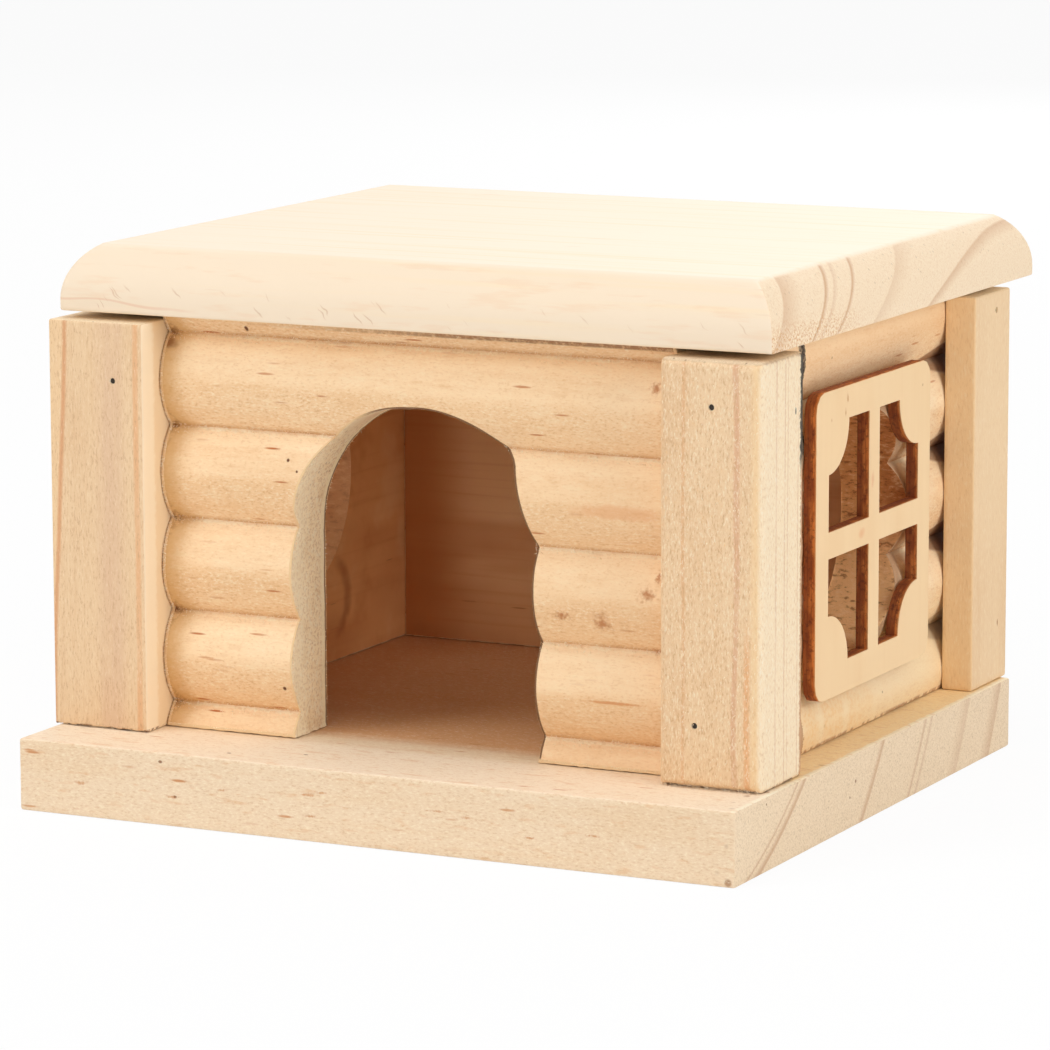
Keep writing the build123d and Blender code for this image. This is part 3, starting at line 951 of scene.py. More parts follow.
def side_wall_inner(side, seed):
    """Inside of a side wall: cloudy, with one soft knot and painted shade low down at the front."""
    inner = inner_wood(f"{side}_wall_inner_face", "Y", seed + 0.5, (244, 186, 124))
    # Painted shade low down at the front.
    inner.lay(inner.z.rise(30 * mm, 18 * mm) * inner.y.rise(44 * mm, 24 * mm) * 0.5, (196, 118, 64))
    far = inner.off_axis(24 * mm, 29 * mm) + (inner.specks(150.0, 2.0, 0.5) - 0.5) * (5 * mm)
    knot = abs(far - 8.5 * mm).rise(2.6 * mm, 0.2 * mm) * inner.y.rise(25 * mm, 31 * mm)
    inner.lay(knot * 0.5, (158, 82, 36))
    cloud = inner.specks(60.0, 3.0, 0.6)
    inner.lay(cloud.rise(0.5, 0.7) * 0.4, (255, 214, 156))
    inner.lay(cloud.rise(0.48, 0.3) * 0.4, (204, 128, 70))
    return inner.finish()


def side_wall_cuts(side, seed, plain, lit, speckled):
    """Saw cuts of a side wall; its round hole has a plain tone, lit from below and speckled by shares."""
    sawn = sawn_wood(f"{side}_wall_cuts", "Y", seed)
    round_cut = sawn.off_axis(*window_centre).rise(window_hole + 3 * mm, window_hole + 2 * mm)
    sawn.lay(round_cut * 0.95, plain)
    sawn.lay(abs(sawn.x).rise(60 * mm, 69 * mm) * round_cut * 0.7, (188, 112, 56))
    sawn.lay(sawn.z.rise(62 * mm, 38 * mm) * round_cut * lit, (255, 206, 146))
    where = sawn.vector(sawn.x * 350, sawn.y * 700, sawn.z * 900)
    pores = sawn.noise(where, detail=4.0, roughness=0.7)
    sawn.lay(pores.rise(0.52, 0.66) * round_cut * (0.6 * speckled), (255, 212, 160))
    sawn.lay(pores.rise(0.48, 0.34) * round_cut * (0.7 * speckled), (128, 68, 28))
    return sawn.finish(0.8, 0.2 * mm)


def side_walls():
    # The left hole's cut is darker and has less painted light than the right one: painted shade inside the
    # house.
    for side, outward, seed, *hole_looks in (("left", -1, 3.0, (210, 148, 96), 0.3, 0.35),
                                             ("right", 1, 4.0, (228, 158, 92), 0.8, 1.0)):
        node = f"{side}_wall"
        outside = side_wall_wood(side, outward, seed)
        inside_face = side_wall_inner(side, seed)
        cuts = side_wall_cuts(side, seed, *hole_looks)
        hole = circle(window_centre, window_hole, saw_step)
        obj = log_wall(f"{node}_logs", node, 1, outward, side_groove, [hole])
        finish_piece(obj, node, outside, inside_face, cuts)


def left_post_wood():
    """Left post: a wandering ring line, wavy fibres, and a bright side that darkens towards the logs, with
    painted shade in the gap beside them.
    """
    left = Pine("front_left_post_pine", "Z", (236, 203, 162), 5.0)
    left.figure((222, 180, 136), 0.4, 0.4)
    left.strokes((250, 226, 190), (216, 172, 128), 0.25, 2.4 * mm, 0.4 * mm)
    from_ring = left.x - left.z.rise(16 * mm, 108 * mm) * (3.9 * mm) + left.wavy * (0.8 * mm) + 80.7 * mm
    left.lay(from_ring.rise(0.6 * mm, -0.2 * mm) * 0.6, (242, 206, 160))
    left.lay(abs(from_ring).rise(0.8 * mm, 0.1 * mm) * 0.75, (216, 152, 106))
    left.stripe(left.x, -60.3 * mm, 0.9 * mm, (232, 172, 120), 0.65, 0.9 * mm)
    left.stripe(left.x, -66.5 * mm, 4.4 * mm, (222, 184, 152), 0.55)
    fibres = left.flow(1.3 * mm, 0.3 * mm, 3.0, 0.7, shift=13.0)
    left.lay(fibres.rise(0.46, 0.34) * 0.5, (198, 152, 114))
    left.lay(fibres.rise(0.58, 0.72) * 0.4, (255, 236, 208))
    inwards = left.tilt["X"].rise(0.5, 0.9)
    left.lay(inwards * 0.95, (250, 232, 202))
    ragged = left.specks(700.0) - 0.5
    left.lay((left.y + ragged * (2.4 * mm)).rise(-53.4 * mm, -52.0 * mm) * inwards * 0.4, (232, 192, 134))
    off_crest = abs(((left.z - (floor_top + front_groove)) / log_pitch).fraction() - 0.5) * 2
    # Painted shade on the side in the gap beside the logs, following their profile.
    gap_shade = left.y + ragged * (1.2 * mm) - off_crest * off_crest * log_bulge
    left.lay(gap_shade.rise(-51.0 * mm, -50.3 * mm) * inwards * 0.6, (206, 146, 84))
    left.lay(left.tilt["X"].rise(-0.5, -0.9) * 0.5, (250, 222, 182))
    left.end_grain((240, 216, 180), (206, 168, 124), (252, 236, 208))
    return left


def right_post_wood():
    """Right post: a rough sawn face, a bright grooved side with a dark rear arris, and a worn top."""
    right = Pine("front_right_post_pine", "Z", (240, 207, 166), 6.0)
    right.figure((224, 180, 134), 0.35, 0.25)
    right.stripe(right.x, 73.0 * mm, 0.9 * mm, (218, 160, 126), 0.6)
    right.stripe(right.x, 61.8 * mm, 0.5 * mm, (224, 162, 110), 0.4, 1.2 * mm)
    low_down = right.z.rise(52 * mm, 38 * mm)
    ring = abs(right.x - 75.6 * mm + right.wavy * mm).rise(1.0 * mm, 0.2 * mm)
    right.lay(ring * low_down * 0.65, (236, 172, 116))
    face = abs(right.tilt["Y"]).rise(0.5, 0.9)
    right.strokes((253, 235, 204), (212, 168, 122), 0.7, 1.1 * mm, 0.36 * mm, face, 1.0)
    right.lay(right.x.rise(75.4 * mm, 77.2 * mm) * 0.55, (250, 216, 166))
    side = right.tilt["X"].rise(0.3, 0.85)
    right.lay(side * 0.9, (250, 228, 194))
    uneven = right.flow(14 * mm, 1 * mm, shift=14.0).rise(0.3, 0.6) * 0.4 + 0.2
    for y, half in ((-50.5, 0.5), (-46.3, 0.4), (-44.9, 0.3), (-39.9, 0.3)):
        line = abs(right.y - y * mm + right.wavy * (0.7 * mm)).rise(half * mm, half * 0.2 * mm)
        right.lay(line * side * uneven, (222, 178, 140))
    right.strokes((255, 246, 226), (222, 184, 144), 0.6, 0.9 * mm, 0.34 * mm, side, 1.0)
    rear = right.y + (right.specks(700.0) - 0.5) * (2.4 * mm)
    top_half = right.z.rise(74 * mm, 80 * mm)
    right.lay(rear.rise(-39.3 * mm, -38.6 * mm) * side * top_half * 0.95, (36, 24, 16))
    right.lay(rear.rise(-38.9 * mm, -38.3 * mm) * side * (1 - top_half) * 0.7, (184, 118, 64))
    top = post_right[1][2]
    worn_top = (right.z + right.specks(800.0) * mm).rise(top - 0.3 * mm, top + 0.4 * mm)
    right.lay(worn_top * 0.5, (150, 104, 66))
    right.marks(0, 78.5 * mm, 3 * mm, (96, 84, 72), [(-41.2, 88.2, 0.35, 0.8)], 0.9, 0.0, 0.4)
    right.end_grain((226, 200, 166), (180, 146, 110), (250, 232, 204))
    return right


def posts():
    soft = rounding(0.5 * mm)
    foot = post_left[0][2]
    for side, wood, arris, corner in (("left", left_post_wood(), soft, 0.4 * mm),
                                      ("right", right_post_wood(), rounding(1.8 * mm, 6), 0.9 * mm)):
        node = f"front_{side}_post"
        # Painted shade: a dark, ragged line along the foot of each post.
        ragged_foot_shade = wood.specks(620.0, 2.0, 0.5).rise(0.46, 0.6)
        wood.lay(wood.z.rise(foot + 0.75 * mm, foot + 0.35 * mm) * ragged_foot_shade * 0.85, (112, 64, 32))
        pits = nail_places("front_post_nails", 0, 2, node)
        obj = flat_board(f"{node}_stick", node, 1, -1, arris, 0.8 * mm, 24, radius=corner,
                         torn_foot=0.45 * mm, pits=pits)
        finish_piece(obj, node, wood.finish())
    for side, outward, seed in (("left", -1, 7.0), ("right", 1, 8.0)):
        node = f"rear_{side}_post"
        wood = Pine(f"{node}_pine", "Z", (240, 208, 166), seed)
        wood.figure((226, 184, 138), 0.35, 0.3)
        # Painted light: the strip's front and back faces are lighter.
        wood.lay(abs(wood.tilt["Y"]).rise(0.5, 0.9) * 0.6, (250, 214, 162))
        wood.strokes((253, 236, 206), (218, 176, 130), 0.3, 1.6 * mm, 0.4 * mm)
        wood.marks(0, outward * 78.5 * mm, 4 * mm, (176, 120, 76), [(69.1, 27.6, 0.4, 0.9)], 0.8)
        wood.end_grain((240, 216, 180), (206, 168, 124), (252, 236, 208))
        pits = nail_places("rear_post_nails", 1, 2)[:1]
        obj = flat_board(f"{node}_strip", node, 0, outward, soft, 0.8 * mm, 8, torn_foot=0.2 * mm, pits=pits)
        finish_piece(obj, node, wood.finish())


def floor_wood():
    """Floor board: wide rings on its ends, a pale step before the wall and a pale margin by the right wall as
    painted light, and a warmer, darker floor behind as painted shade.
    """
    wood = Pine("floor_board_pine", "X", (241, 216, 184), 9.0)
    wood.figure((234, 200, 158), 0.4, 0.35)
    pith = (-102.1 * mm, 88.4 * mm)
    wood.rings(pith,
               [(78 * mm, 6 * mm, 0.3), (94.8 * mm, 0.8 * mm, 0.8), (97.2 * mm, 1.0 * mm, 0.95),
                (127.6 * mm, 9 * mm, 0.75), (146.8 * mm, 1.2 * mm, 0.75), (149.8 * mm, 1.0 * mm, 0.6),
                (168.6 * mm, 5 * mm, 0.5), (185.2 * mm, 5 * mm, 0.65), (200 * mm, 6 * mm, 0.5)],
               (196, 148, 106), 0.35, 0.0, 1.6 * mm)
    low, high = corners("front_wall")
    inside_shade = wood.y.rise(low[1] + 3 * mm, high[1] - 1 * mm) * abs(wood.x + 2 * mm).rise(64 * mm, 60 * mm)
    up = wood.tilt["Z"].rise(0.5, 0.9)
    # Painted light on the step before the wall; painted shade on the floor inside the house.
    wood.lay(wood.y.rise(low[1] + 2 * mm, low[1] - 3 * mm) * up * 0.75, (252, 234, 210))
    wood.lay(inside_shade * up * 0.75, (220, 152, 90))
    tear = wood.specks(300.0, 3.0, 0.6).rise(0.44, 0.58) * wood.y.rise(-46 * mm, -32 * mm)
    beside = abs(wood.x - 76.2 * mm + wood.wavy * (3 * mm)).rise(1.6 * mm, 0.5 * mm)
    tear = tear * wood.y.rise(34 * mm, 10 * mm) * up * beside
    wood.lay(tear * 0.6, (208, 146, 88))
    # Painted light on the margin beside the right wall.
    wood.lay(wood.x.rise(66 * mm, 72 * mm) * wood.y.rise(-50 * mm, -38 * mm) * up, (255, 224, 170))
    outer_edge = wood.x + (wood.specks(400.0) - 0.5) * (1.6 * mm)
    wood.lay(outer_edge.rise(78.6 * mm, 79.1 * mm) * up * 0.7, (255, 246, 220))
    near_corner = outer_edge.rise(75 * mm, 77 * mm) * wood.y.rise(-16 * mm, -38 * mm)
    wood.crumbs(near_corner * 0.7, (150, 96, 52), 420.0, 0.72)
    wood.strokes((255, 240, 212), (216, 176, 132), 0.5, 0.9 * mm, 0.36 * mm)
    wood.canals((204, 136, 80), 0.85, 12 * mm, 2.0 * mm, 0.6)
    wood.lay(wood.flow(6 * mm, 1.4 * mm, 3.0, 0.6, shift=15.0).rise(0.56, 0.7) * 0.4, (226, 176, 124))
    wood.end_grain((238, 214, 182), (188, 160, 122), (255, 240, 216), 0.12)
    wood.rings(pith,
               [(94.8 * mm, 0.5 * mm, 0.7), (97.2 * mm, 1.6 * mm, 0.8), (127.6 * mm, 2.0 * mm, 0.7),
                (146.8 * mm, 1.2 * mm, 0.6), (149.8 * mm, 1.0 * mm, 0.45), (168.6 * mm, 5 * mm, 0.35),
                (185.2 * mm, 5 * mm, 0.5)],
               (196, 150, 112), 0.0, 1.0, 0.8 * mm)
    dashes = [(-44.1, 6.1, 1.6, 0.4), (-32.7, 8.6, 1.4, 0.32), (-13.1, 9.5, 2.0, 0.4),
              (-10.0, 10.2, 1.4, 0.32), (-12.4, 5.2, 1.8, 0.32), (15.5, 9.0, 2.2, 0.28),
              (22.5, 8.3, 1.6, 0.32), (36.1, 5.6, 1.6, 0.32), (-66.0, 7.0, 2.2, 0.48),
              (50.0, 7.4, 1.8, 0.32)]
    wood.marks(1, -73 * mm, 3 * mm, (204, 136, 78), dashes, 0.75, 0.0, 2.2)
    for x, y, z, half in ((-46.8, -73, 13.1, 0.4), (-43.4, -73, 6.2, 0.3), (-34.0, -67.3, 15, 0.4),
                          (-19.3, -62.0, 15, 0.4), (80, -13, 9.2, 0.45), (80, -16, 6.4, 0.3),
                          (80, -58, 13.5, 0.3)):
        size = (half * 1.4 * mm, half * mm, half * mm)
        wood.mark((x * mm, y * mm, z * mm), size, (140, 88, 50), 0.85, 0.5, 0.6)
    return wood.finish()


def floor_board():
    under = nail_places("floor_nails", 0, 1)
    edge = rounding(0.5 * mm)
    obj = flat_board("floor_board_plank", "floor_board", 2, 1, edge, 1.2 * mm, 14, back_pits=under)
    finish_piece(obj, "floor_board", floor_wood())


def roof_wood():
    """Roof board: pale and smooth, scratched low on its front, with bold rings on its ends."""
    wood = Pine("roof_board_pine", "X", (251, 234, 208), 10.0, end_tilt=(0.35, 0.6))
    wood.figure((244, 218, 178), 0.3, 0.3)
    pith = (82.6 * mm, -31.5 * mm)
    wood.rings(pith,
               [(144.6 * mm, 3 * mm, 0.5), (158.5 * mm, 4 * mm, 0.4), (169.7 * mm, 3 * mm, 0.6),
                (177.6 * mm, 3 * mm, 0.6), (190.9 * mm, 7 * mm, 0.5)],
               (240, 206, 156), 0.4, 0.0, 3 * mm)
    wood.lay(wood.tilt["Y"].rise(-0.2, -0.75) * 0.9, (242, 222, 196))
    wood.lay(wood.tilt["Z"].rise(0.8, 0.98) * 0.85, (252, 234, 212))
    wood.lay(wood.flow(90 * mm, 2.4 * mm, 3.0, shift=12.0).rise(0.5, 0.72) * 0.5, (246, 222, 184))
    wood.canals((214, 168, 122), 0.45, 20 * mm, common=0.12)
    low = corners("roof_board")[0]
    front = wood.tilt["Y"].rise(-0.3, -0.7)
    above = wood.z.rise(low[2] + 0.6 * mm, low[2] + 1.4 * mm)
    band = wood.z.rise(low[2] + 6.4 * mm, low[2] + 4.6 * mm) * above
    curl = (wood.specks(330.0, 2.0, 0.5) - 0.5) * (1.9 * mm)
    down = wood.x * 0.68 - wood.z * 0.73 + curl
    aside = wood.x * 0.73 + wood.z * 0.68 + curl
    distance, chance = wood.spots(wood.vector(down / (8 * mm), aside / (0.8 * mm), 0.5), 3.0)
    scratch = distance.rise(0.26, 0.12) * chance.rise(0.5, 0.62) * front * band
    wood.lay(scratch * 0.4, (200, 150, 110))
    wood.height = wood.height - scratch * 0.5
    streaks = wood.flow(16 * mm, 2.2 * mm, 3.0, 0.6, shift=16.0).rise(0.54, 0.7)
    wood.lay(streaks * front * 0.3, (238, 200, 164))
    swirl = abs(wood.z - low[2] - 2.8 * mm + wood.wavy * (9 * mm)).rise(0.5 * mm, 0.1 * mm)
    wood.lay(swirl * wood.x.rise(-44 * mm, -60 * mm) * front * 0.4, (228, 176, 140))
    wood.end_grain((247, 223, 191), (224, 188, 148), (254, 240, 216), 0.25)
    wood.rings(pith,
               [(144.6 * mm, 2.2 * mm, 0.55), (158.5 * mm, 4 * mm, 0.3), (169.7 * mm, 0.9 * mm, 0.85),
                (175.0 * mm, 1.2 * mm, 0.35), (177.6 * mm, 1.1 * mm, 0.85), (190.9 * mm, 6 * mm, 0.5)],
               (206, 158, 118), 0.0, 1.0, 1.0 * mm)
    rough_corner = wood.ends * wood.y.rise(0, -30 * mm) * wood.z.rise(108 * mm, 103 * mm)
    torn = wood.specks(1900.0, 2.0, 0.7)
    wood.lay(torn.rise(0.5, 0.4) * rough_corner * 0.75, (214, 156, 96))
    wood.lay(torn.rise(0.55, 0.68) * rough_corner * 0.7, (255, 240, 214))
    wood.height = wood.height + torn * rough_corner
    return wood.finish()


def roof_moulding():
    """Edge of the roof board, as (inset, sink) pairs: a shallow bow above its upright band."""
    low, high = corners("roof_board")
    height = high[2] - low[2] - roof_flat
    bow = (roof_run ** 2 + height ** 2) / (2 * roof_run)
    angles = np.linspace(0, math.asin(height / bow), 12)
    moulding = [(bow * (1 - math.cos(a)), height - bow * math.sin(a)) for a in angles]
    return moulding + [(roof_run + 0.5 * mm, 0.0)]


def roof_board():
    obj = flat_board("roof_board_plank", "roof_board", 2, 1, roof_moulding(), 1.2 * mm, 4)
    finish_piece(obj, "roof_board", roof_wood())


def roof_battens():
    for side, seed in (("left", 11.0), ("right", 12.0)):
        stick = Pine(f"{side}_batten_pine", "Y", (240, 206, 160), seed)
        stick.figure((222, 176, 126), 0.4, 0.4)
        stick.strokes((252, 232, 200), (212, 168, 122), 0.6)
        stick.canals((196, 128, 76), 0.7)
        stick.end_grain((236, 208, 168), (200, 162, 118), (252, 236, 208))
        node = f"{side}_roof_batten"
        pits = nail_places("batten_nails", 0, 1, node)
        obj = flat_board(f"{side}_batten_stick", node, 2, -1, rounding(0.8 * mm), 1.0 * mm, 7, pits=pits)
        finish_piece(obj, node, stick.finish())


def window_ply():
    """Sanded face of the window frames' plywood, with a few brown flecks."""
    ply = Pine("window_ply", "Z", (245, 212, 166), 13.0)
    ply.figure((236, 196, 146), 0.35, 0.2)
    both_frames = 200 * mm
    for tone, rows in (((196, 130, 76), [(-5.0, 85.8, 0.5, 1.4), (-6.0, 83.0, 0.4, 1.2)]),
                       ((206, 150, 100), [(-13.2, 82.4, 0.35, 0.5)]),
                       ((176, 128, 84), [(35.3, 83.2, 0.35, 0.4)]),
                       ((232, 180, 136), [(8.5, 66.7, 0.9, 2.6)]),
                       ((234, 178, 130), [(3.2, 57.0, 1.8, 1.6)])):
        ply.marks(0, 0, both_frames, tone, rows, 0.8, 0.0, 1.2)
    return ply.finish(0.55, 0.06 * mm)


def burnt_edge():
    """Laser-cut edge of the plywood: brown, darker behind the face, with dark glue lines between plies."""
    burnt = Shader("window_burnt_edge")
    here = burnt.node("ShaderNodeTexCoord", {}, {}).outputs["Object"]
    x, y, z = burnt.split(here)
    char = burnt.noise(burnt.vector(x * 900, y * 260, z * 260), detail=3.0, roughness=0.6)
    crumbs = burnt.noise(here, 1000.0, 4.0, 0.7)
    proud = corners("right_window_frame")[1][0] - abs(x)
    colour = burnt.blend(char.rise(0.35, 0.62), srgb(210, 122, 54), srgb(164, 82, 28))
    deep = (proud + (char - 0.5) * (1.6 * mm)).rise(0.5 * mm, 1.6 * mm)
    colour = burnt.blend(deep * 0.6, colour, srgb(112, 48, 16))
    layer = (proud / (0.93 * mm) + 0.5).fraction()
    colour = burnt.blend(abs(layer - 0.5).rise(0.16, 0.04) * 0.4, colour, srgb(84, 38, 14))
    colour = burnt.blend(crumbs.rise(0.52, 0.62) * 0.5, colour, srgb(70, 28, 8))
    colour = burnt.blend(proud.rise(0.55 * mm, 0.15 * mm) * 0.7, colour, srgb(222, 160, 98))
    return burnt.surface(colour, 0.7, crumbs, 0.1 * mm)


def window_frames():
    flat_ply, burnt = window_ply(), burnt_edge()
    for side, outward in (("left", -1), ("right", 1)):
        node = f"{side}_window_frame"
        low, high = corners(node)
        holes = [pane_loop(sy, sz) for sy in (-1, 1) for sz in (-1, 1)]

        def face(uv):
            return (skin(uv, 6 * mm, 12 * mm, 31) + 1) * 0.02 * mm

        def bite(points):
            return (noise(points, (0.5 * mm,) * 3, 32) + 1) * 0.03 * mm

        outer = rectangle(low[1:], high[1:], frame_corner, 0.6 * mm)
        us, vs = spaced(low[1], high[1], 1.0 * mm), spaced(low[2], high[2], 1.0 * mm)
        edge = [(0.0, 0.08 * mm), (0.06 * mm, 0.02 * mm), (0.2 * mm, 0.0)]
        place, back = placed(node, 0, outward), flat_back(node, 0)
        obj = board(f"{side}_window_ply", [outer, *holes], place, face, back, us, vs, edge, edge, 8, bite)
        finish_piece(obj, node, flat_ply, flat_ply, burnt)


def pane_loop(side_y, side_z):
    """Loop maker of one pane: a rectangle with its outer corner bitten off round, clockwise."""
    inner = window_centre + np.array((side_y, side_z)) * muntin / 2
    outer = inner + np.array((side_y * pane[0], side_z * pane[1]))
    step = 0.5 * mm
    bite_y = (outer[0] - side_y * pane_bite, outer[1])
    bite_z = (outer[0], outer[1] - side_z * pane_bite)
    turn = math.degrees(math.atan2(0, -side_y))
    turn_z = math.degrees(math.atan2(-side_z, 0))
    if abs(turn - turn_z) > 180:
        turn_z += 360
    path = divided([bite_z, (outer[0], inner[1]), tuple(inner), (inner[0], outer[1]), bite_y], step)
    path += arc(tuple(outer), pane_bite, turn, turn_z, step)[:-1]
    area = sum(p[0] * q[1] - q[0] * p[1] for p, q in zip(path, path[1:] + path[:1]))
    return mitred(path if area < 0 else path[::-1])


def nails():
    metal = steel()
    for node in ("front_post_nails", "side_post_nails", "rear_post_nails", "floor_nails", "batten_nails"):
        brads = frame["nodes"][node]
        brads.data.materials.clear()
        brads.data.materials.append(metal)


# ---------------------------------------------------------------- torn fibres

def fibre_tree():
    """Geometry Nodes: fine cones scattered over the seats, each leaning as its seat says."""
    tree = bpy.data.node_groups.new("wood_fibres", "GeometryNodeTree")
    tree.interface.new_socket("Seats", in_out="INPUT", socket_type="NodeSocketGeometry")
    for name, kind in (("Density", "Float"), ("Width", "Float"), ("Spread", "Float"), ("Seed", "Int"),
                       ("Material", "Material")):
        tree.interface.new_socket(name, in_out="INPUT", socket_type="NodeSocket" + kind)
    tree.interface.new_socket("Fibres", in_out="OUTPUT", socket_type="NodeSocketGeometry")

    def node(kind, settings, inputs):
        made = tree.nodes.new(kind)
        for key, value in settings.items():
            setattr(made, key, value)
        for key, value in inputs.items():
            if isinstance(value, bpy.types.NodeSocket):
                tree.links.new(value, made.inputs[key])
            else:
                made.inputs[key].default_value = value
        return made.outputs

    def attribute(name, kind):
        return node("GeometryNodeInputNamedAttribute", {"data_type": kind}, {"Name": name})[0]

    def times(first, second):
        return node("ShaderNodeMath", {"operation": "MULTIPLY"}, {0: first, 1: second})

    given = node("NodeGroupInput", {}, {})
    density = times(given["Density"], attribute("crowd", "FLOAT"))
    scatter = node("GeometryNodeDistributePointsOnFaces", {"distribute_method": "RANDOM"},
                   {"Mesh": given["Seats"], "Density": density[0], "Seed": given["Seed"]})
    stray = node("FunctionNodeRandomValue", {"data_type": "FLOAT_VECTOR"},
                 {0: (-1.0, -1.0, -1.0), 1: (1.0, 1.0, 1.0), "Seed": given["Seed"]})
    turned = node("ShaderNodeVectorMath", {"operation": "SCALE"}, {0: stray[0], "Scale": given["Spread"]})
    lean = attribute("lean", "FLOAT_VECTOR")
    heading = node("ShaderNodeVectorMath", {"operation": "ADD"}, {0: lean, 1: turned[0]})
    aligned = node("FunctionNodeAlignRotationToVector", {"axis": "Z"}, {"Vector": heading[0]})
    share = node("FunctionNodeRandomValue", {"data_type": "FLOAT"}, {2: 0.35, 3: 1.0, "Seed": given["Seed"]})
    length = times(share[1], attribute("reach", "FLOAT"))
    scale = node("ShaderNodeCombineXYZ", {}, {0: given["Width"], 1: given["Width"], 2: length[0]})
    cone = node("GeometryNodeMeshCone", {"fill_type": "NGON"},
                {"Vertices": 5, "Radius Top": 0.0, "Radius Bottom": 0.5, "Depth": 1.0})
    placed = node("GeometryNodeInstanceOnPoints", {}, {
        "Points": scatter["Points"], "Instance": cone["Mesh"], "Rotation": aligned[0], "Scale": scale[0]})
    real = node("GeometryNodeRealizeInstances", {}, {0: placed[0]})
    coated = node("GeometryNodeSetMaterial", {}, {"Geometry": real[0], "Material": given["Material"]})
    node("NodeGroupOutput", {}, {0: coated[0]})
    return tree


class Seats:
    """Narrow bands that fibres grow from, with the lean, length and crowding of their fibres."""

    def __init__(self):
        self.points, self.faces, self.lean, self.reach, self.crowd = [], [], [], [], []

    def band(self, path, across, lean, reach, crowd, within=None):
        """A band along a path of (n, 3) points, only inside an outline in x and z where one is given."""
        path, half = np.asarray(path, float), np.asarray(across) / 2
        first = len(self.points)
        self.points += np.stack((path - half, path + half), axis=1).reshape(-1, 3).tolist()
        self.lean += np.repeat(np.broadcast_to(lean, path.shape), 2, axis=0).ravel().tolist()
        self.reach += [reach] * 2 * len(path)
        self.crowd += [crowd] * 2 * len(path)
        middles = (path[:-1] + path[1:]) / 2
        kept = np.ones(len(middles), bool) if within is None else inside(middles[:, [0, 2]], [within])
        for step in np.flatnonzero(kept):
            a = first + 2 * int(step)
            self.faces.append((a, a + 1, a + 3, a + 2))

    def grow(self, name, body, slot, **given):
        """Turns the bands into a piece of fibres that rides on a body."""
        obj = solid(name, np.array(self.points), self.faces)
        for key, kind, values in (("lean", "FLOAT_VECTOR", self.lean), ("reach", "FLOAT", self.reach),
                                  ("crowd", "FLOAT", self.crowd)):
            attribute = obj.data.attributes.new(key, kind, "POINT")
            attribute.data.foreach_set("vector" if kind == "FLOAT_VECTOR" else "value", values)
        modifier = obj.modifiers.new("fibres", "NODES")
        modifier.node_group = fibre_tree()
        for socket in modifier.node_group.interface.items_tree:
            if socket.name in given:
                modifier[socket.identifier] = given[socket.name]
        grown = obj.evaluated_get(bpy.context.evaluated_depsgraph_get())
        mesh = bpy.data.meshes.new_from_object(grown)
        obj.modifiers.remove(modifier)
        obj.data = mesh
        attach(obj, body)


def line(xs, ys, zs):
    """A path of points from numbers or rows of numbers."""
    return np.column_stack(np.broadcast_arrays(xs, ys, zs))


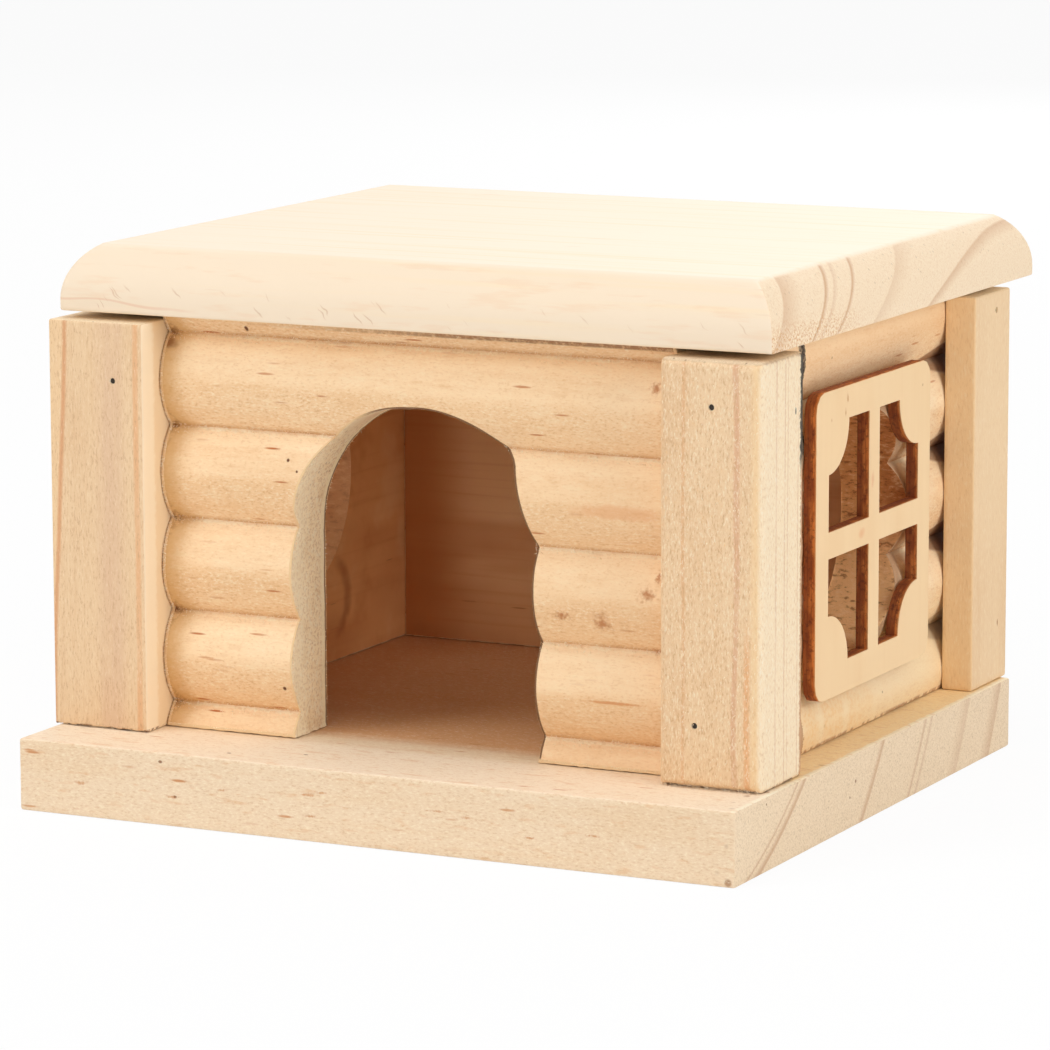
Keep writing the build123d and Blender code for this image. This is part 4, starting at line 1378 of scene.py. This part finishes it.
def wood_fibres():
    """Fibres left standing in the grooves, on the sawn post and along the edges that a saw has torn."""
    seats = Seats()
    low, high = corners("front_wall")
    outline = np.array(door_wall_outline(saw_step))
    xs = np.arange(low[0] + 0.5 * mm, high[0], 1 * mm)
    for groove in floor_top + front_groove + log_pitch * np.arange(5):
        for rise, crowd in ((-1.3 * mm, 0.3), (-0.5 * mm, 0.7), (0.4 * mm, 0.6)):
            depth = log_depth(groove + rise, front_groove) + 0.1 * mm
            path = line(xs, low[1] + depth, groove + rise)
            seats.band(path, (0, 0, 0.6 * mm), (0.3, -0.5, 0.1), 0.8 * mm, crowd, outline)
    zs = np.arange(low[2] + 0.5 * mm, high[2] - 1 * mm, 0.6 * mm)
    left_end = line(low[0] + 0.4 * mm, low[1] + log_depth(zs, front_groove) + 0.15 * mm, zs)
    seats.band(left_end, (0.6 * mm, 0, 0), (-0.6, -0.5, 0.0), 0.9 * mm, 1.6)
    rim = outline[(abs(outline[:, 0] - door_x) < foot_out + 1 * mm) & (outline[:, 1] > low[2] + 1 * mm)]
    rim = rim[(rim[:, 0] < door_x - 16 * mm) & (rim[:, 1] < high[2] - 1 * mm)]
    inward = unit(line(door_x - rim[:, 0], 0, floor_top + door_spring - rim[:, 1])) + (0, -0.3, 0)
    front_arris = low[1] + log_depth(rim[:, 1], front_groove) + 0.35 * mm
    for arris, crowd in ((front_arris, 0.5), (high[1] - 0.35 * mm, 0.2)):
        seats.band(line(rim[:, 0], arris, rim[:, 1]), (0, 0.5 * mm, 0), inward, 0.6 * mm, crowd)
    wall_foot = log_depth(low[2], front_groove)
    for node, foot, within in (("front_wall", wall_foot, outline), ("front_left_post", 0, None),
                               ("front_right_post", 0, None)):
        start, end = corners(node)
        xs = np.arange(start[0] + 0.5 * mm, end[0], 1 * mm)
        path = line(xs, start[1] + (0.3 * mm + foot), start[2] + 0.4 * mm)
        seats.band(path, (0, 0, 0.5 * mm), (0.0, -0.6, -0.6), 0.4 * mm, 1.2, within)
    heights = np.arange(start[2] + 1 * mm, end[2] - 1 * mm, 4 * mm)
    for x in np.arange(start[0] + 1 * mm, end[0] - 1 * mm, 1 * mm):
        seats.band(line(x, start[1] + 0.06 * mm, heights), (1 * mm, 0, 0), (0.1, -0.3, -1.0), 1.0 * mm, 0.1)
    start, end = corners("right_wall")
    ys = np.arange(start[1] + 0.5 * mm, end[1], 1 * mm)
    foot = end[0] - log_depth(start[2], side_groove) - 0.3 * mm
    seats.band(line(foot, ys, start[2] + 0.5 * mm), (0, 0, 0.6 * mm), (0.6, 0.0, -0.4), 0.5 * mm, 1.0)
    torn = Shader("torn_fibres")
    tone = torn.noise(torn.node("ShaderNodeTexCoord", {}, {}).outputs["Object"], 900.0)
    fibre = torn.surface(torn.blend(tone.rise(0.3, 0.7), srgb(240, 200, 150), srgb(255, 240, 214)), 0.7)
    seats.grow("torn_wood_fibres", "house", "pine",
               Density=9e6, Width=0.17 * mm, Spread=0.6, Seed=7, Material=fibre)


# ---------------------------------------------------------------- camera, floor and light

def camera():
    """A long lens in front and to the right, a little above the roof."""
    to_right = Vector((0.89749596, 0.44101473, -0.00263945))
    forward = Vector((-0.4351861, 0.88464812, -0.16736428))
    data = bpy.data.cameras.new("camera")
    data.lens = 180.3
    data.sensor_width = 36.0
    data.clip_start, data.clip_end = 0.05, 20.0
    obj = bpy.data.objects.new("camera", data)
    obj.location = (0.47749, -0.97169, 0.23754)
    obj.rotation_mode = "QUATERNION"
    turn = Matrix((to_right, to_right.cross(forward), -forward)).transposed()
    obj.rotation_quaternion = turn.to_quaternion()
    bpy.context.scene.collection.objects.link(obj)
    bpy.context.scene.camera = obj


def lamp(name, size, power, seen_from, towards=(0, 0, 0.05)):
    data = bpy.data.lights.new(name, "AREA")
    data.shape = "DISK"
    data.size = size
    data.energy = power
    obj = bpy.data.objects.new(name, data)
    obj.location = seen_from
    obj.rotation_mode = "QUATERNION"
    obj.rotation_quaternion = (Vector(towards) - Vector(seen_from)).to_track_quat("-Z", "Y")
    bpy.context.scene.collection.objects.link(obj)


def stage():
    """Plain pale floor, white surroundings and soft light."""
    full_white = (1.0, 1.0, 1.0, 1.0)
    sheet = Shader("floor_paper")
    paper = sheet.node("ShaderNodeBsdfDiffuse", {}, {"Color": (0.95, 0.95, 0.95, 1.0)})
    glow = sheet.node("ShaderNodeEmission", {}, {"Color": full_white, "Strength": 1.0})
    share = sheet.white_to_see() * 0.92
    both = sheet.node("ShaderNodeMixShader", {}, {0: share, 1: paper.outputs[0], 2: glow.outputs[0]})
    sheet.node("ShaderNodeOutputMaterial", {}, {"Surface": both.outputs[0]})
    half = 3.0
    points = np.array([(-half, -half, 0), (half, -half, 0), (half, half, 0), (-half, half, 0)])
    paper_floor = solid("floor", points - (0, 0, 0.05 * mm), [(0, 1, 2, 3)])
    paper_floor.data.materials.append(sheet.block)

    world = Shader("surroundings", world=True)
    light = world.node("ShaderNodeBackground", {}, {"Color": full_white, "Strength": 0.45})
    white = world.node("ShaderNodeBackground", {}, {"Color": full_white, "Strength": 1.0})
    share = world.white_to_see()
    either = world.node("ShaderNodeMixShader", {}, {0: share, 1: light.outputs[0], 2: white.outputs[0]})
    world.node("ShaderNodeOutputWorld", {}, {"Surface": either.outputs[0]})
    bpy.context.scene.world = world.block
    lamp("overhead", 1.2, 6.9, (0.0, -0.25, 1.5))
    lamp("left", 0.8, 6.7, (-0.8, -1.1, 0.8))
    lamp("right", 0.8, 8.3, (1.5, -0.4, 0.6))
    lamp("behind", 0.8, 5.0, (-0.3, 1.5, 0.6))


bpy.context.scene.view_settings.view_transform = "Standard"
camera()
stage()
front_wall()
back_wall()
side_walls()
posts()
floor_board()
roof_board()
roof_battens()
window_frames()
nails()
wood_fibres()
